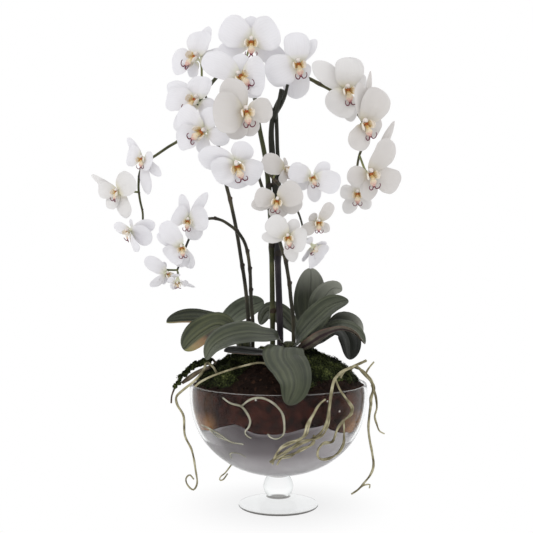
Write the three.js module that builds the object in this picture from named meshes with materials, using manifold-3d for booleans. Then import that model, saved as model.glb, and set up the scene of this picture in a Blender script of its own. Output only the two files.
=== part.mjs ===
// Moth orchid in glass vase: footed glass bowl, resin water, potting soil, moss,
// three leafy crowns, five flower spikes, loose air roots and twenty-five blooms.
// Millimetres, +Z up, front towards -Y, origin at the centre of the foot's underside.
import * as THREE from 'three';
import Module from 'manifold-3d';

const wasm = await Module();
wasm.setup();

// Driving dimensions
const GAP = 0.3;
const SEGMENTS = 24;
const FOOT_RADIUS = 57.4;
const FOOT_EDGE = 3;
const STEM_Z = 13.6;
const KNOB_RADIUS = 21.7;
const BOWL_RADIUS = 128;
const BOWL_WIDEST_Z = 165;
const BOWL_BOTTOM_Z = 46;
const BOWL_POWER = 2.13;
const RIM_Z = 177;
const WALL = 3;
const BOTTOM_WALL = 5;
const FILL_INSET = 2.2;
const BOUNDARY_Z = 130;
const BOUNDARY_WAVE = 7;
const SOIL_TOP_Z = 222;
const SOIL_FALL = 46;
const SOIL_RINGS = [0, 36, 78, 117, 134];
const MOSS_RINGS = [36, 78, 117];
const MOSS_START = -75;
const MOSS_END = 225;
const MOSS_THICK = 7;
const SWELL = 1.25;
const PETAL_THICK = 1;
const LEAF_THICK = 2;

// Colours
const GLASS = { color: 0xeef2f2, roughness: 0.05, metalness: 0 };
const RESIN = { color: 0x8f8a8c, roughness: 0.2, metalness: 0 };
const SOIL = { color: 0x2a1d19, roughness: 0.95, metalness: 0 };
const MOSS = { color: 0x39421f, roughness: 0.95, metalness: 0 };
const CROWN = { color: 0x4a4f3a, roughness: 0.7, metalness: 0 };
const DARK_STEM = { color: 0x2a282a, roughness: 0.55, metalness: 0 };
const OLIVE_STEM = { color: 0x4d4f32, roughness: 0.55, metalness: 0 };
const LEAF = { color: 0x545746, roughness: 0.5, metalness: 0 };
const ROOT = { color: 0x8f8a68, roughness: 0.8, metalness: 0 };
const PETAL = { color: 0xe9e8ec, roughness: 0.6, metalness: 0 };

const vec = ([x, y, z]) => new THREE.Vector3(x, y, z);
const radians = THREE.MathUtils.degToRad;

// Repeatable value between 0 and 1 for a pair of whole numbers
function noise(a, b) {
  const value = Math.sin(a * 127.1 + b * 311.7) * 43758.5453;
  return value - Math.floor(value);
}

// Piecewise value of a profile given as pairs of place and value
function profileAt(profile, place) {
  for (let i = 1; i < profile.length; i += 1) {
    const [p0, v0] = profile[i - 1];
    const [p1, v1] = profile[i];
    if (place <= p1) return v0 + ((v1 - v0) * (place - p0)) / (p1 - p0);
  }
  return profile[profile.length - 1][1];
}

// Closed body from corners and triangles, turned to face outwards
function bodyOf(points, faces) {
  let volume = 0;
  for (const [a, b, c] of faces) {
    volume += points[a].dot(new THREE.Vector3().crossVectors(points[b], points[c]));
  }
  const outward = volume > 0 ? faces : faces.map(([a, b, c]) => [a, c, b]);
  const mesh = new wasm.Mesh({
    numProp: 3,
    vertProperties: Float32Array.from(points.flatMap((p) => [p.x, p.y, p.z])),
    triVerts: Uint32Array.from(outward.flat()),
  });
  mesh.merge();
  return new wasm.Manifold(mesh);
}

function fuse(bodies) {
  return bodies.reduce((whole, body) => whole.add(body));
}

function cutAway(body, tools) {
  return tools.reduce((rest, tool) => rest.subtract(tool), body);
}

// Body of revolution about the vertical axis, from a profile of radius and height
function turned(profile) {
  const lathe = new THREE.LatheGeometry(profile.map(([r, z]) => new THREE.Vector2(r, z)), SEGMENTS);
  const place = lathe.attributes.position;
  const points = [];
  const seen = new Map();
  const index = [];
  for (let i = 0; i < place.count; i += 1) {
    const p = new THREE.Vector3(place.getX(i), -place.getZ(i), place.getY(i));
    const key = `${p.x.toFixed(3)} ${p.y.toFixed(3)} ${p.z.toFixed(3)}`;
    if (!seen.has(key)) {
      seen.set(key, points.length);
      points.push(p);
    }
    index.push(seen.get(key));
  }
  const faces = [];
  const order = lathe.index.array;
  for (let i = 0; i < order.length; i += 3) {
    const [a, b, c] = [index[order[i]], index[order[i + 1]], index[order[i + 2]]];
    if (a !== b && b !== c && c !== a) faces.push([a, b, c]);
  }
  return bodyOf(points, faces);
}

// Rings of corners along a curve, carried on without twist
function ringsAlong(curve, places, radiusAt, sides) {
  const rings = [];
  let side = null;
  for (const place of places) {
    const centre = curve.getPointAt(place);
    const ahead = curve.getTangentAt(place);
    if (!side) side = Math.abs(ahead.z) < 0.9 ? new THREE.Vector3(0, 0, 1) : new THREE.Vector3(0, 1, 0);
    side = side.clone().addScaledVector(ahead, -side.dot(ahead)).normalize();
    const other = new THREE.Vector3().crossVectors(ahead, side);
    const radius = radiusAt(place);
    const ring = [];
    for (let k = 0; k < sides; k += 1) {
      const turn = (2 * Math.PI * k) / sides;
      ring.push(centre.clone()
        .addScaledVector(side, Math.cos(turn) * radius)
        .addScaledVector(other, Math.sin(turn) * radius));
    }
    rings.push(ring);
  }
  return rings;
}

// Places of the sections of a rod: evenly or crowded to the tip, and at each named stop
function sectionPlaces(steps, crowd, stops) {
  const places = [];
  for (let i = 0; i <= steps; i += 1) places.push((i / steps) ** crowd);
  const kept = places.filter((p) => p === 0 || p === 1 || stops.every((stop) => Math.abs(stop - p) > 0.014));
  return [...kept, ...stops].sort((a, b) => a - b);
}

// Closed rod along a smooth path of points
function rod({ path, radius, sides = 6, steps = 12, rings = [], stops = [], crowd = 1 }) {
  const curve = new THREE.CatmullRomCurve3(path.map(vec), false, 'centripetal');
  const marks = rings.flatMap(([place, reach]) => [place - reach, place, place + reach]);
  const free = stops.filter((stop) => stop < 0.985 && marks.every((mark) => Math.abs(mark - stop) > 0.005));
  const all = sectionPlaces(steps, crowd, [...marks, ...free]);
  const swell = (place) => (rings.some(([at]) => Math.abs(at - place) < 1e-6) ? SWELL : 1);
  const radiusAt = (place) => profileAt(radius, place) * swell(place);
  const bands = ringsAlong(curve, all, radiusAt, sides);
  const points = bands.flat();
  const faces = [];
  for (let i = 0; i < bands.length - 1; i += 1) {
    for (let k = 0; k < sides; k += 1) {
      const next = (k + 1) % sides;
      const [a, b] = [i * sides + k, i * sides + next];
      faces.push([a, b, b + sides], [a, b + sides, a + sides]);
    }
  }
  const last = (bands.length - 1) * sides;
  for (let k = 1; k < sides - 1; k += 1) {
    faces.push([0, k + 1, k], [last, last + k, last + k + 1]);
  }
  return bodyOf(points, faces);
}

// Rows of corners of a thin blade along a path: the upper face first, then the lower
function bladeCorners({ path, upRoot, up, upEnd, width, outline, thick, columns, fold = 0, wave = 0, seed = 1 }) {
  const curve = new THREE.CatmullRomCurve3(path.map(vec), false, 'centripetal');
  const upper = [];
  const lower = [];
  outline.forEach(([place, part], row) => {
    const centre = curve.getPointAt(place);
    const ahead = curve.getTangentAt(place);
    const face = place === 0 && upRoot ? vec(upRoot) : vec(up).lerp(vec(upEnd ?? up), place);
    face.addScaledVector(ahead, -face.dot(ahead)).normalize();
    const across = new THREE.Vector3().crossVectors(ahead, face);
    for (let j = 0; j <= columns; j += 1) {
      const a = (2 * j) / columns - 1;
      const half = (width * part) / 2;
      const ripple = wave * Math.abs(a) * (noise(row + seed * 7, j) - 0.5) * part;
      const lift = fold * Math.abs(a) * half + ripple;
      const middle = centre.clone().addScaledVector(across, a * half).addScaledVector(face, lift);
      const halfThick = (thick * (1 - 0.3 * a * a)) / 2;
      upper.push(middle.clone().addScaledVector(face, halfThick));
      lower.push(middle.clone().addScaledVector(face, -halfThick));
    }
  });
  return [...upper, ...lower];
}

// Triangles of a blade, both faces divided alike, with a real edge; its root end may stay open
function bladeFaces(rows, columns, start, openRoot) {
  const count = rows * (columns + 1);
  const at = (i, j) => start + i * (columns + 1) + j;
  const faces = [];
  const quad = (a, b, c, d) => faces.push([a, b, c], [a, c, d]);
  for (let i = 0; i < rows - 1; i += 1) {
    for (let j = 0; j < columns; j += 1) {
      const [a, b, c, d] = [at(i, j), at(i, j + 1), at(i + 1, j + 1), at(i + 1, j)];
      quad(a, b, c, d);
      faces.push([a + count, c + count, b + count], [a + count, d + count, c + count]);
    }
    const [a, d] = [at(i, 0), at(i + 1, 0)];
    quad(a, d, d + count, a + count);
    const [b, c] = [at(i, columns), at(i + 1, columns)];
    quad(b, b + count, c + count, c);
  }
  for (let j = 0; j < columns; j += 1) {
    const [a, b] = [at(0, j), at(0, j + 1)];
    if (!openRoot) quad(b, a, a + count, b + count);
    const [d, c] = [at(rows - 1, j), at(rows - 1, j + 1)];
    quad(c, c + count, d + count, d);
  }
  return faces;
}

function blade(spec) {
  return bodyOf(bladeCorners(spec), bladeFaces(spec.outline.length, spec.columns, 0, false));
}

// Closed layer between two height functions over a sector of rings
function layer({ rings, start, end, top, bottom }) {
  const full = end - start >= 360;
  const step = 360 / SEGMENTS;
  const first = Math.round(start / step);
  const last = Math.round(end / step);
  const turns = [];
  for (let i = first; full ? i < last : i <= last; i += 1) turns.push(i);
  const points = [];
  const faces = [];
  const index = (ring, turn) => ring * turns.length + turn;
  for (const height of [top, bottom]) {
    rings.forEach((radius, ring) => {
      for (const turn of turns) {
        const angle = radians(turn * step);
        const z = height(radius, (turn + 10 * SEGMENTS) % SEGMENTS);
        points.push(new THREE.Vector3(radius * Math.cos(angle), radius * Math.sin(angle), z));
      }
    });
  }
  const count = rings.length * turns.length;
  const spans = full ? turns.length : turns.length - 1;
  const quad = (a, b, c, d) => faces.push([a, b, c], [a, c, d]);
  for (let r = 0; r < rings.length - 1; r += 1) {
    for (let t = 0; t < spans; t += 1) {
      const next = (t + 1) % turns.length;
      const [a, b, c, d] = [index(r, t), index(r + 1, t), index(r + 1, next), index(r, next)];
      if (rings[r] === 0) {
        faces.push([a, b, c]);
        faces.push([a + count, c + count, b + count]);
      } else {
        quad(a, b, c, d);
        faces.push([a + count, c + count, b + count], [a + count, d + count, c + count]);
      }
    }
  }
  for (let t = 0; t < spans; t += 1) {
    const next = (t + 1) % turns.length;
    const outer = rings.length - 1;
    const [b, c] = [index(outer, t), index(outer, next)];
    quad(b, b + count, c + count, c);
    if (rings[0] !== 0) {
      const [a, d] = [index(0, t), index(0, next)];
      quad(a, d, d + count, a + count);
    }
  }
  if (!full) {
    for (let r = 0; r < rings.length - 1; r += 1) {
      const [a, b] = [index(r, 0), index(r + 1, 0)];
      quad(a, a + count, b + count, b);
      const [d, c] = [index(r, spans), index(r + 1, spans)];
      quad(d, c, c + count, d + count);
    }
  }
  return bodyOf(welded(points, faces, rings[0] === 0 ? turns.length : 0, count), faces);
}

// With the first ring at the axis, its corners all stand at one height
function welded(points, faces, shared, count) {
  if (!shared) return points;
  for (const base of [0, count]) {
    const height = points[base].z;
    for (let i = 0; i < shared; i += 1) points[base + i].z = height;
    for (const face of faces) {
      face.forEach((corner, k) => {
        if (corner >= base && corner < base + shared) face[k] = base;
      });
    }
  }
  return points;
}

// Outer radius of the bowl at a height
function bowlRadius(z) {
  if (z >= BOWL_WIDEST_Z) return BOWL_RADIUS - ((z - BOWL_WIDEST_Z) / 12) ** 2;
  const drop = (BOWL_WIDEST_Z - z) / (BOWL_WIDEST_Z - BOWL_BOTTOM_Z);
  return BOWL_RADIUS * (1 - Math.min(1, drop) ** BOWL_POWER) ** (1 / BOWL_POWER);
}

// Points of the bowl's wall from bottom to rim, moved inwards by a distance
function bowlCurve(inward, lift) {
  const heights = [47.5, 53, 63, 79, 103, 134, 163];
  return heights.map((z) => {
    const low = 1 - (z - BOWL_BOTTOM_Z) / (BOWL_WIDEST_Z - BOWL_BOTTOM_Z);
    const share = Math.max(0, low);
    return [bowlRadius(z) - inward * (1 - 0.3 * share), z + lift * share ** 2];
  });
}

function vase() {
  const outside = [
    [0, 0],
    [FOOT_RADIUS - 1, 0],
    [FOOT_RADIUS, 1.2],
    [FOOT_RADIUS - 0.8, FOOT_EDGE],
    [38, 6.2],
    [20, STEM_Z - 1.4],
    [15.6, STEM_Z],
    [19.4, 19],
    [KNOB_RADIUS, 28],
    [19.6, 37],
    [15.4, 44],
  ];
  const outer = bowlCurve(0, 0).filter(([r]) => r > 16);
  const rim = [[bowlRadius(RIM_Z), RIM_Z - 0.8], [bowlRadius(RIM_Z) - WALL / 2, RIM_Z + 0.4]];
  const inner = bowlCurve(WALL, BOTTOM_WALL).reverse();
  return turned([...outside, ...outer, ...rim, ...inner, [0, BOWL_BOTTOM_Z + BOTTOM_WALL + 0.6]]);
}

// Inside of the bowl, filled to a tall column, a gap away from the glass
function filling() {
  const side = bowlCurve(WALL + GAP + FILL_INSET, BOTTOM_WALL + GAP);
  const top = bowlRadius(RIM_Z) - WALL - FILL_INSET - GAP;
  return turned([[0, BOWL_BOTTOM_Z + BOTTOM_WALL + 0.6 + GAP], ...side, [top, RIM_Z - 3], [top, 260], [0, 260]]);
}

// Height of the border between the clear filling and the soil above it
function borderZ(radius, turn) {
  const share = radius / 134;
  return BOUNDARY_Z + BOUNDARY_WAVE * share * Math.sin(turn * 1.9 + 0.6);
}

// Height of the soil's surface
function soilZ(radius, turn) {
  const fall = SOIL_FALL * (radius / 120) ** 2.2;
  const rough = radius === 0 ? 0 : 3 * (noise(radius, turn) - 0.5);
  return Math.max(SOIL_TOP_Z - fall + rough, RIM_Z - 4);
}

function mossZ(radius, turn) {
  const edge = radius <= MOSS_RINGS[0] || radius >= MOSS_RINGS[2] ? 0.5 : 1;
  return soilZ(radius, turn) + GAP + MOSS_THICK * edge * (0.75 + 0.6 * noise(radius + 3, turn));
}

function resinWater() {
  const below = layer({ rings: [0, 60, 134], start: 0, end: 360, top: borderZ, bottom: () => 30 });
  return filling().intersect(below);
}

function pottingSoil() {
  const above = (radius, turn) => borderZ(radius, turn) + GAP;
  const below = layer({ rings: [0, 60, 134], start: 0, end: 360, top: above, bottom: () => 30 });
  const mound = layer({ rings: SOIL_RINGS, start: 0, end: 360, top: soilZ, bottom: () => 30 });
  return filling().intersect(mound).subtract(below);
}

function mossCover() {
  const bottom = (radius, turn) => soilZ(radius, turn) + GAP;
  return layer({ rings: MOSS_RINGS, start: MOSS_START, end: MOSS_END, top: mossZ, bottom });
}

// Crowns: short leafy stocks that the leaves and spikes grow from
const CROWNS = {
  crown_left: [[-50, -8, 196], [-50, -8, 252]],
  crown_front: [[15, -16, 196], [15, -16, 238]],
  crown_right: [[42, 9, 196], [42, 9, 242]],
};
const CROWN_RADIUS = [[0, 9.4], [0.5, 10.4], [0.9, 9.6], [1, 6]];
const CROWN_SIDES = 8;
const LEAF_SEAT = 1.2;
const ROOT_SIDES = 4;

// Spikes: path, radius from base to tip, places of the node rings
const SPIKES = {
  spike_left: {
    look: DARK_STEM,
    path: [[-42, 20, 172], [-43, 20, 230], [-44, 20, 269], [-47, 20, 305], [-50, 19, 329], [-54, 16, 354],
      [-58, 10, 381], [-62, 2, 405], [-66, -4, 425], [-70, -8, 443], [-75, -10, 463], [-80, -10, 492],
      [-87, -6, 521], [-95, 5, 550], [-102, 16, 580], [-112, 26, 612]],
    radius: [[0, 3], [0.7, 2.6], [1, 1.7]],
    rings: [[0.2, 0.008], [0.38, 0.008], [0.6, 0.008]],
  },
  spike_left_bent: {
    look: DARK_STEM,
    path: [[-37, 4, 172], [-37, 4, 231], [-37, 4, 265], [-39, 3, 289], [-40, 2, 313], [-41, 0, 338],
      [-44, -4, 363], [-48, -8, 378], [-54, -12, 389], [-62, -14, 398], [-71, -14, 405], [-81, -13, 411],
      [-94, -12, 414], [-108, -12, 411], [-119, -14, 401],
      [-127, -20, 385], [-134, -26, 366], [-139, -29, 351], [-143, -30, 340]],
    radius: [[0, 2.9], [0.6, 2.4], [1, 1.4]],
    rings: [[0.375, 0.01], [0.46, 0.01], [0.53, 0.01], [0.62, 0.01], [0.72, 0.01]],
  },
  spike_olive: {
    look: OLIVE_STEM,
    path: [[-8, 32, 172], [-8, 31, 246], [-9, 28, 337], [-10, 26, 380], [-12, 23, 430], [-15, 20, 472],
      [-20, 18, 510], [-27, 16, 545], [-32, 17, 575], [-36, 24, 600], [-50, 36, 630], [-76, 46, 640], [-102, 50, 618], [-120, 44, 586],
      [-131, 26, 556], [-143, -2, 528], [-158, -13, 516], [-175, -15, 504], [-188, -12, 496],
      [-197, -10, 485], [-201, -8, 462], [-199, -8, 441], [-195, -8, 422], [-195, -8, 404]],
    radius: [[0, 4], [0.4, 3.6], [0.75, 2.3], [1, 1.5]],
    rings: [[0.13, 0.006], [0.25, 0.006], [0.36, 0.006], [0.8, 0.006], [0.91, 0.006]],
  },
  spike_black: {
    look: DARK_STEM,
    path: [[3, 25, 172], [3, 25, 247], [0, 24, 337], [-1, 22, 380], [-2, 21, 430], [-5, 20, 475],
      [-9, 20, 515], [-10, 20, 545], [-6, 20, 572], [3, 22, 593], [16, 28, 612], [28, 36, 622], [42, 34, 625], [60, 26, 615],
      [82, 18, 601], [107, 12, 579], [122, 2, 555], [127, -6, 538], [124, -6, 522], [118, 2, 508],
      [116, 20, 490], [117, 40, 474]],
    radius: [[0, 5], [0.5, 4.6], [0.6, 3], [1, 1.6]],
    rings: [[0.27, 0.007], [0.42, 0.007], [0.72, 0.006], [0.87, 0.006]],
  },
  spike_centre: {
    look: DARK_STEM,
    path: [[23, 6, 172], [22, 5, 257], [21, 4, 276], [18, 2, 300], [16, 0, 320], [13, -2, 339],
      [10, -4, 355], [4, -5, 374],
      [-3, -5, 400], [-13, -4, 426], [-22, -2, 455], [-29, -2, 480], [-27, -3, 494], [-19, -6, 492],
      [-10, -10, 474], [3, -14, 459], [18, -16, 441], [29, -18, 420], [35, -18, 400], [38, -18, 388]],
    radius: [[0, 3.2], [0.6, 2.5], [1, 1.3]],
    rings: [[0.32, 0.01], [0.39, 0.01], [0.5, 0.01], [0.8, 0.01]],
  },
};

// Second strand of the black spike, and the cut side shoots near its top
const CUT_SHOOTS = [
  { path: [[-1, 21, 440], [2, 20, 475], [-1, 20, 515], [-2, 20, 548], [-3, 20, 572]], radius: [[0, 2], [0.2, 3], [1, 3]] },
  { path: [[-7, 20, 566], [-12, 12, 582], [-14, 8, 589]], radius: [[0, 3.2], [1, 2.2]] },
  { path: [[-6, 20, 570], [-1, -2, 588], [4, -14, 600], [6, -18, 611]], radius: [[0, 3.8], [1, 2.6]] },
  { path: [[-4, 14, 576], [6, -4, 588], [13, -16, 600], [15, -20, 614]], radius: [[0, 3.4], [1, 2.5]] },
];

// Leaves: path from the crown outwards, facing of the upper side, full width
const LEAVES = {
  leaf_left_upper: {
    crown: 'crown_left',
    path: [[-61, -6, 244], [-72, -6, 259], [-93, -3, 265], [-114, -4, 267], [-137, -6, 267], [-161, -9, 265]],
    up: [0.3, -0.3, 1], upEnd: [-0.4, -0.6, 0.8], width: 38, fold: 0.5,
  },
  leaf_left_lower: {
    crown: 'crown_left',
    path: [[-58, -17, 235], [-70, -29, 254], [-85, -36, 262], [-103, -42, 254], [-119, -47, 242], [-132, -50, 229]],
    up: [0, -0.6, 0.8], upEnd: [-0.7, -0.8, 0.2], width: 48, fold: 0.25, widest: 0.68,
  },
  leaf_left_back: {
    crown: 'crown_left',
    path: [[-58, 3, 238], [-72, 18, 261], [-61, 34, 275], [-43, 42, 285], [-21, 44, 293]],
    up: [0, -0.7, 0.7], upEnd: [0.1, -1, 0.3], width: 34, fold: 0.25, widest: 0.68,
  },
  leaf_front_left: {
    crown: 'crown_front',
    path: [[3, -23, 234], [-3, -34, 246], [-18, -48, 245], [-43, -64, 252], [-70, -76, 248], [-89, -80, 236], [-99, -80, 219]],
    up: [-0.1, -0.7, 0.7], upEnd: [-0.75, -0.6, 0.3], width: 46, fold: 0.2,
  },
  leaf_front_thin: {
    crown: 'crown_front',
    path: [[6, -31, 223], [-15, -44, 222], [-40, -62, 226], [-60, -70, 229], [-75, -74, 230]],
    up: [0, -0.3, 1], upEnd: [-0.1, -0.4, 0.9], width: 32, fold: 0.3,
  },
  leaf_front_drooping: {
    crown: 'crown_front',
    path: [[13, -31, 226], [13, -46, 229], [8, -64, 233], [6, -88, 222], [16, -114, 207], [19, -131, 190], [10, -139, 167]],
    up: [0, 0, 1], upEnd: [0.1, -1, 0.1], width: 57, fold: 0.12, widest: 0.42,
  },
  leaf_right_tall: {
    crown: 'crown_right',
    path: [[44, 22, 240], [47, 46, 264], [48, 57, 292], [50, 60, 320], [50, 59, 343]],
    up: [0, -1, 0.2], upEnd: [-0.15, -1, 0.1], width: 48, fold: 0.2,
  },
  leaf_right_broad: {
    crown: 'crown_right',
    seat: 0.6,
    path: [[51, 18, 242], [59, 18, 269], [68, 19, 298], [81, 18, 312], [94, 16, 311]],
    up: [-0.3, -0.8, 0.4], upEnd: [-0.1, -0.7, 0.7], width: 42, fold: 0.15,
  },
  leaf_right_front: {
    crown: 'crown_front',
    path: [[25, -25, 231], [32, -40, 252], [53, -36, 274], [74, -29, 290], [99, -25, 297]],
    up: [-0.5, -0.7, 0.5], upEnd: [-0.2, -0.7, 0.7], width: 37, fold: 0.25,
  },
  leaf_right_folded: {
    crown: 'crown_front',
    path: [[31, -22, 223], [47, -42, 234], [64, -47, 246], [82, -43, 256], [103, -36, 253], [122, -30, 236]],
    up: [-0.3, 0.7, 0.6], upEnd: [0.3, -0.5, 0.8], width: 36, fold: 0.6,
  },
  leaf_right_hanging: {
    crown: 'crown_right',
    seat: 0.9,
    path: [[54, 5, 238], [74, 0, 254], [92, -2, 254], [102, -4, 239], [103, -8, 211]],
    up: [0, -0.2, 1], upEnd: [0.45, -0.9, 0.1], width: 38, fold: 0.2,
  },
  leaf_right_back: {
    crown: 'crown_right',
    seat: 0.95,
    path: [[55, 13, 227], [79, 32, 252], [99, 38, 266], [116, 38, 260], [125, 37, 243]],
    up: [0, -0.4, 0.9], upEnd: [0.6, -0.7, 0.3], width: 27, fold: 0.2,
  },
  leaf_centre_back: {
    crown: 'crown_right',
    path: [[32, 14, 240], [20, 33, 257], [1, 52, 275], [-15, 60, 277], [-27, 61, 257]],
    up: [0.2, -0.6, 0.8], upEnd: [-0.6, -0.7, 0.3], width: 32, fold: 0.2,
  },
};
const LEAF_OUTLINE = [
  [0, 0.2], [0.14, 0.42], [0.32, 0.8], [0.52, 1], [0.7, 0.98], [0.85, 0.8], [0.95, 0.48], [1, 0.14],
];

const LEAF_WIDEST = 0.6;

// Outline of a leaf that is widest at another place along it
function leafOutline(widest = LEAF_WIDEST) {
  return LEAF_OUTLINE.map(([place, part]) => [
    place <= LEAF_WIDEST ? (place * widest) / LEAF_WIDEST : 1 - ((1 - place) * (1 - widest)) / (1 - LEAF_WIDEST), part,
  ]);
}

// Path and facing of a leaf whose base clasps its crown
function seated({ path: [first, ...rest], crown, seat = LEAF_SEAT }) {
  const [base, top] = CROWNS[crown];
  const axis = new THREE.Vector3(base[0], base[1], first[2]);
  const away = vec(first).sub(axis).normalize();
  const radius = profileAt(CROWN_RADIUS, (first[2] - base[2]) / (top[2] - base[2]));
  const upRoot = [-away.x, -away.y, 0.2];
  return { path: [axis.addScaledVector(away, radius + seat).toArray(), ...rest], upRoot };
}

// Air roots: paths of the strands that hang and lie together, and their thickness
const ROOTS = {
  root_left_hanging: [
    { path: [[-83, -48, 190], [-91, -54, 206], [-99, -60, 212], [-104, -74, 202], [-115, -84, 190], [-130, -82, 178], [-140, -73, 167], [-139, -66, 155],
      [-131, -66, 141], [-129, -64, 113], [-120, -60, 92], [-115, -58, 65], [-113, -58, 45], [-118, -58, 37],
      [-126, -59, 44], [-128, -60, 53], [-123, -60, 58], [-117, -61, 52]], radius: [[0, 2.2], [0.5, 2], [1, 1.3]], steps: 16 },
  ],
  root_left_edge: [
    { path: [[-84, -17, 194], [-90, -19, 208], [-96, -22, 214], [-118, -30, 206], [-134, -36, 194], [-143, -37, 180], [-150, -36, 164], [-151, -36, 153]],
      radius: [[0, 2.4], [1, 1.5]], steps: 8 },
  ],
  root_front_left: [
    { path: [[-14, -62, 200], [-17, -69, 211], [-27, -74, 214], [-44, -76, 211], [-67, -80, 205], [-91, -85, 197], [-107, -88, 189], [-113, -91, 184]],
      radius: [[0, 1.8], [1, 1.8]], steps: 6 },
  ],
  root_bunch_right: [
    { path: [[122, -40, 213], [101, -62, 207], [82, -90, 202], [72, -106, 193], [68, -113, 176], [65, -116, 157],
      [61, -115, 138], [53, -115, 125], [43, -117, 119], [27, -118, 112], [13, -116, 104], [1, -113, 98],
      [-12, -102, 85]], radius: [[0, 2.6], [1, 2]], steps: 18 },
    { path: [[82, -58, 184], [89, -60, 200], [100, -62, 207]], radius: [[0, 2.2], [1, 2.2]], steps: 4 },
    { path: [[60, -118, 171], [52, -122, 165], [44, -124, 152], [36, -125, 139], [31, -122, 123], [17, -121, 115],
      [1, -118, 106], [-7, -109, 92], [-9, -98, 82]], radius: [[0, 1.5], [0.3, 2.4], [1, 1.6]], steps: 10 },
    { path: [[45, -118, 124], [43, -115, 113], [31, -113, 104], [17, -112, 98], [4, -109, 93], [-3, -99, 81]],
      radius: [[0, 2], [1, 1.5]], steps: 6 },
    { path: [[74, -101, 196], [80, -105, 182], [91, -98, 166], [97, -90, 153], [94, -91, 145], [86, -99, 140],
      [77, -101, 128], [70, -99, 112], [59, -106, 112], [52, -104, 103], [52, -97, 91], [65, -78, 83],
      [79, -76, 91], [86, -80, 104], [87, -90, 120], [86, -98, 139]], radius: [[0, 1.8], [1, 1.5]], steps: 20 },
  ],
  root_right_hanging: [
    { path: [[100, -6, 188], [105, -13, 200], [112, -22, 202], [122, -27, 192], [131, -31, 182], [133, -33, 170], [129, -36, 160], [129, -37, 150],
      [127, -37, 134], [126, -37, 117], [128, -37, 100], [131, -36, 85], [133, -36, 66], [129, -36, 53],
      [120, -36, 41], [112, -36, 32], [102, -36, 25]], radius: [[0, 3], [0.15, 2.6], [1, 1.7]], steps: 18 },
    { path: [[114, -36, 34], [120, -37, 38], [128, -38, 39], [127, -38, 34]], radius: [[0, 1.5], [1, 1.2]], steps: 5 },
    { path: [[131, -32, 178], [136, -29, 165], [139, -27, 145], [136, -26, 132], [139, -26, 121], [143, -26, 112],
      [150, -26, 108]], radius: [[0, 1.8], [1, 1.3]], steps: 7 },
    { path: [[122, -28, 191], [128, -18, 199], [137, -10, 208]], radius: [[0, 2], [1, 1.4]], steps: 3 },
  ],
  root_back_hanging: [
    { path: [[-56, 84, 182], [-61, 92, 192], [-66, 98, 190], [-74, 108, 182], [-80, 112, 166], [-78, 110, 140], [-68, 104, 108], [-56, 92, 84],
      [-55, 78, 66], [-64, 66, 52], [-72, 61, 42], [-80, 60, 32], [-87, 60, 26], [-88, 60, 21], [-83, 60, 22],
      [-76, 61, 31]], radius: [[0, 2], [1, 1.3]], steps: 22 },
  ],
  root_inner_front: [
    { path: [[-73, -96, 170], [-63, -103, 164], [-49, -110, 161], [-42, -112, 154], [-37, -112, 143], [-39, -110, 134],
      [-44, -107, 127], [-42, -106, 122], [-36, -107, 119]], radius: [[0, 1.4], [0.5, 2], [1, 1.3]], steps: 14 },
    { path: [[-49, -110, 161], [-36, -114, 171], [-22, -117, 173], [-7, -119, 166], [3, -119, 154], [6, -117, 138],
      [4, -113, 124], [-5, -112, 119], [-12, -112, 122], [-15, -113, 126]], radius: [[0, 1.7], [0.6, 2.1], [1, 1.4]],
      steps: 16 },
  ],
  root_inner_left: [
    { path: [[-104, -52, 126], [-93, -67, 125], [-82, -78, 121], [-72, -85, 116], [-64, -88, 111], [-46, -98, 109]],
      radius: [[0, 1.3], [0.5, 2], [1, 1.3]], steps: 9 },
    { path: [[-93, -67, 125], [-85, -73, 118], [-75, -79, 114], [-68, -84, 112]], radius: [[0, 1.4], [1, 1.3]], steps: 4 },
  ],
};

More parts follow.
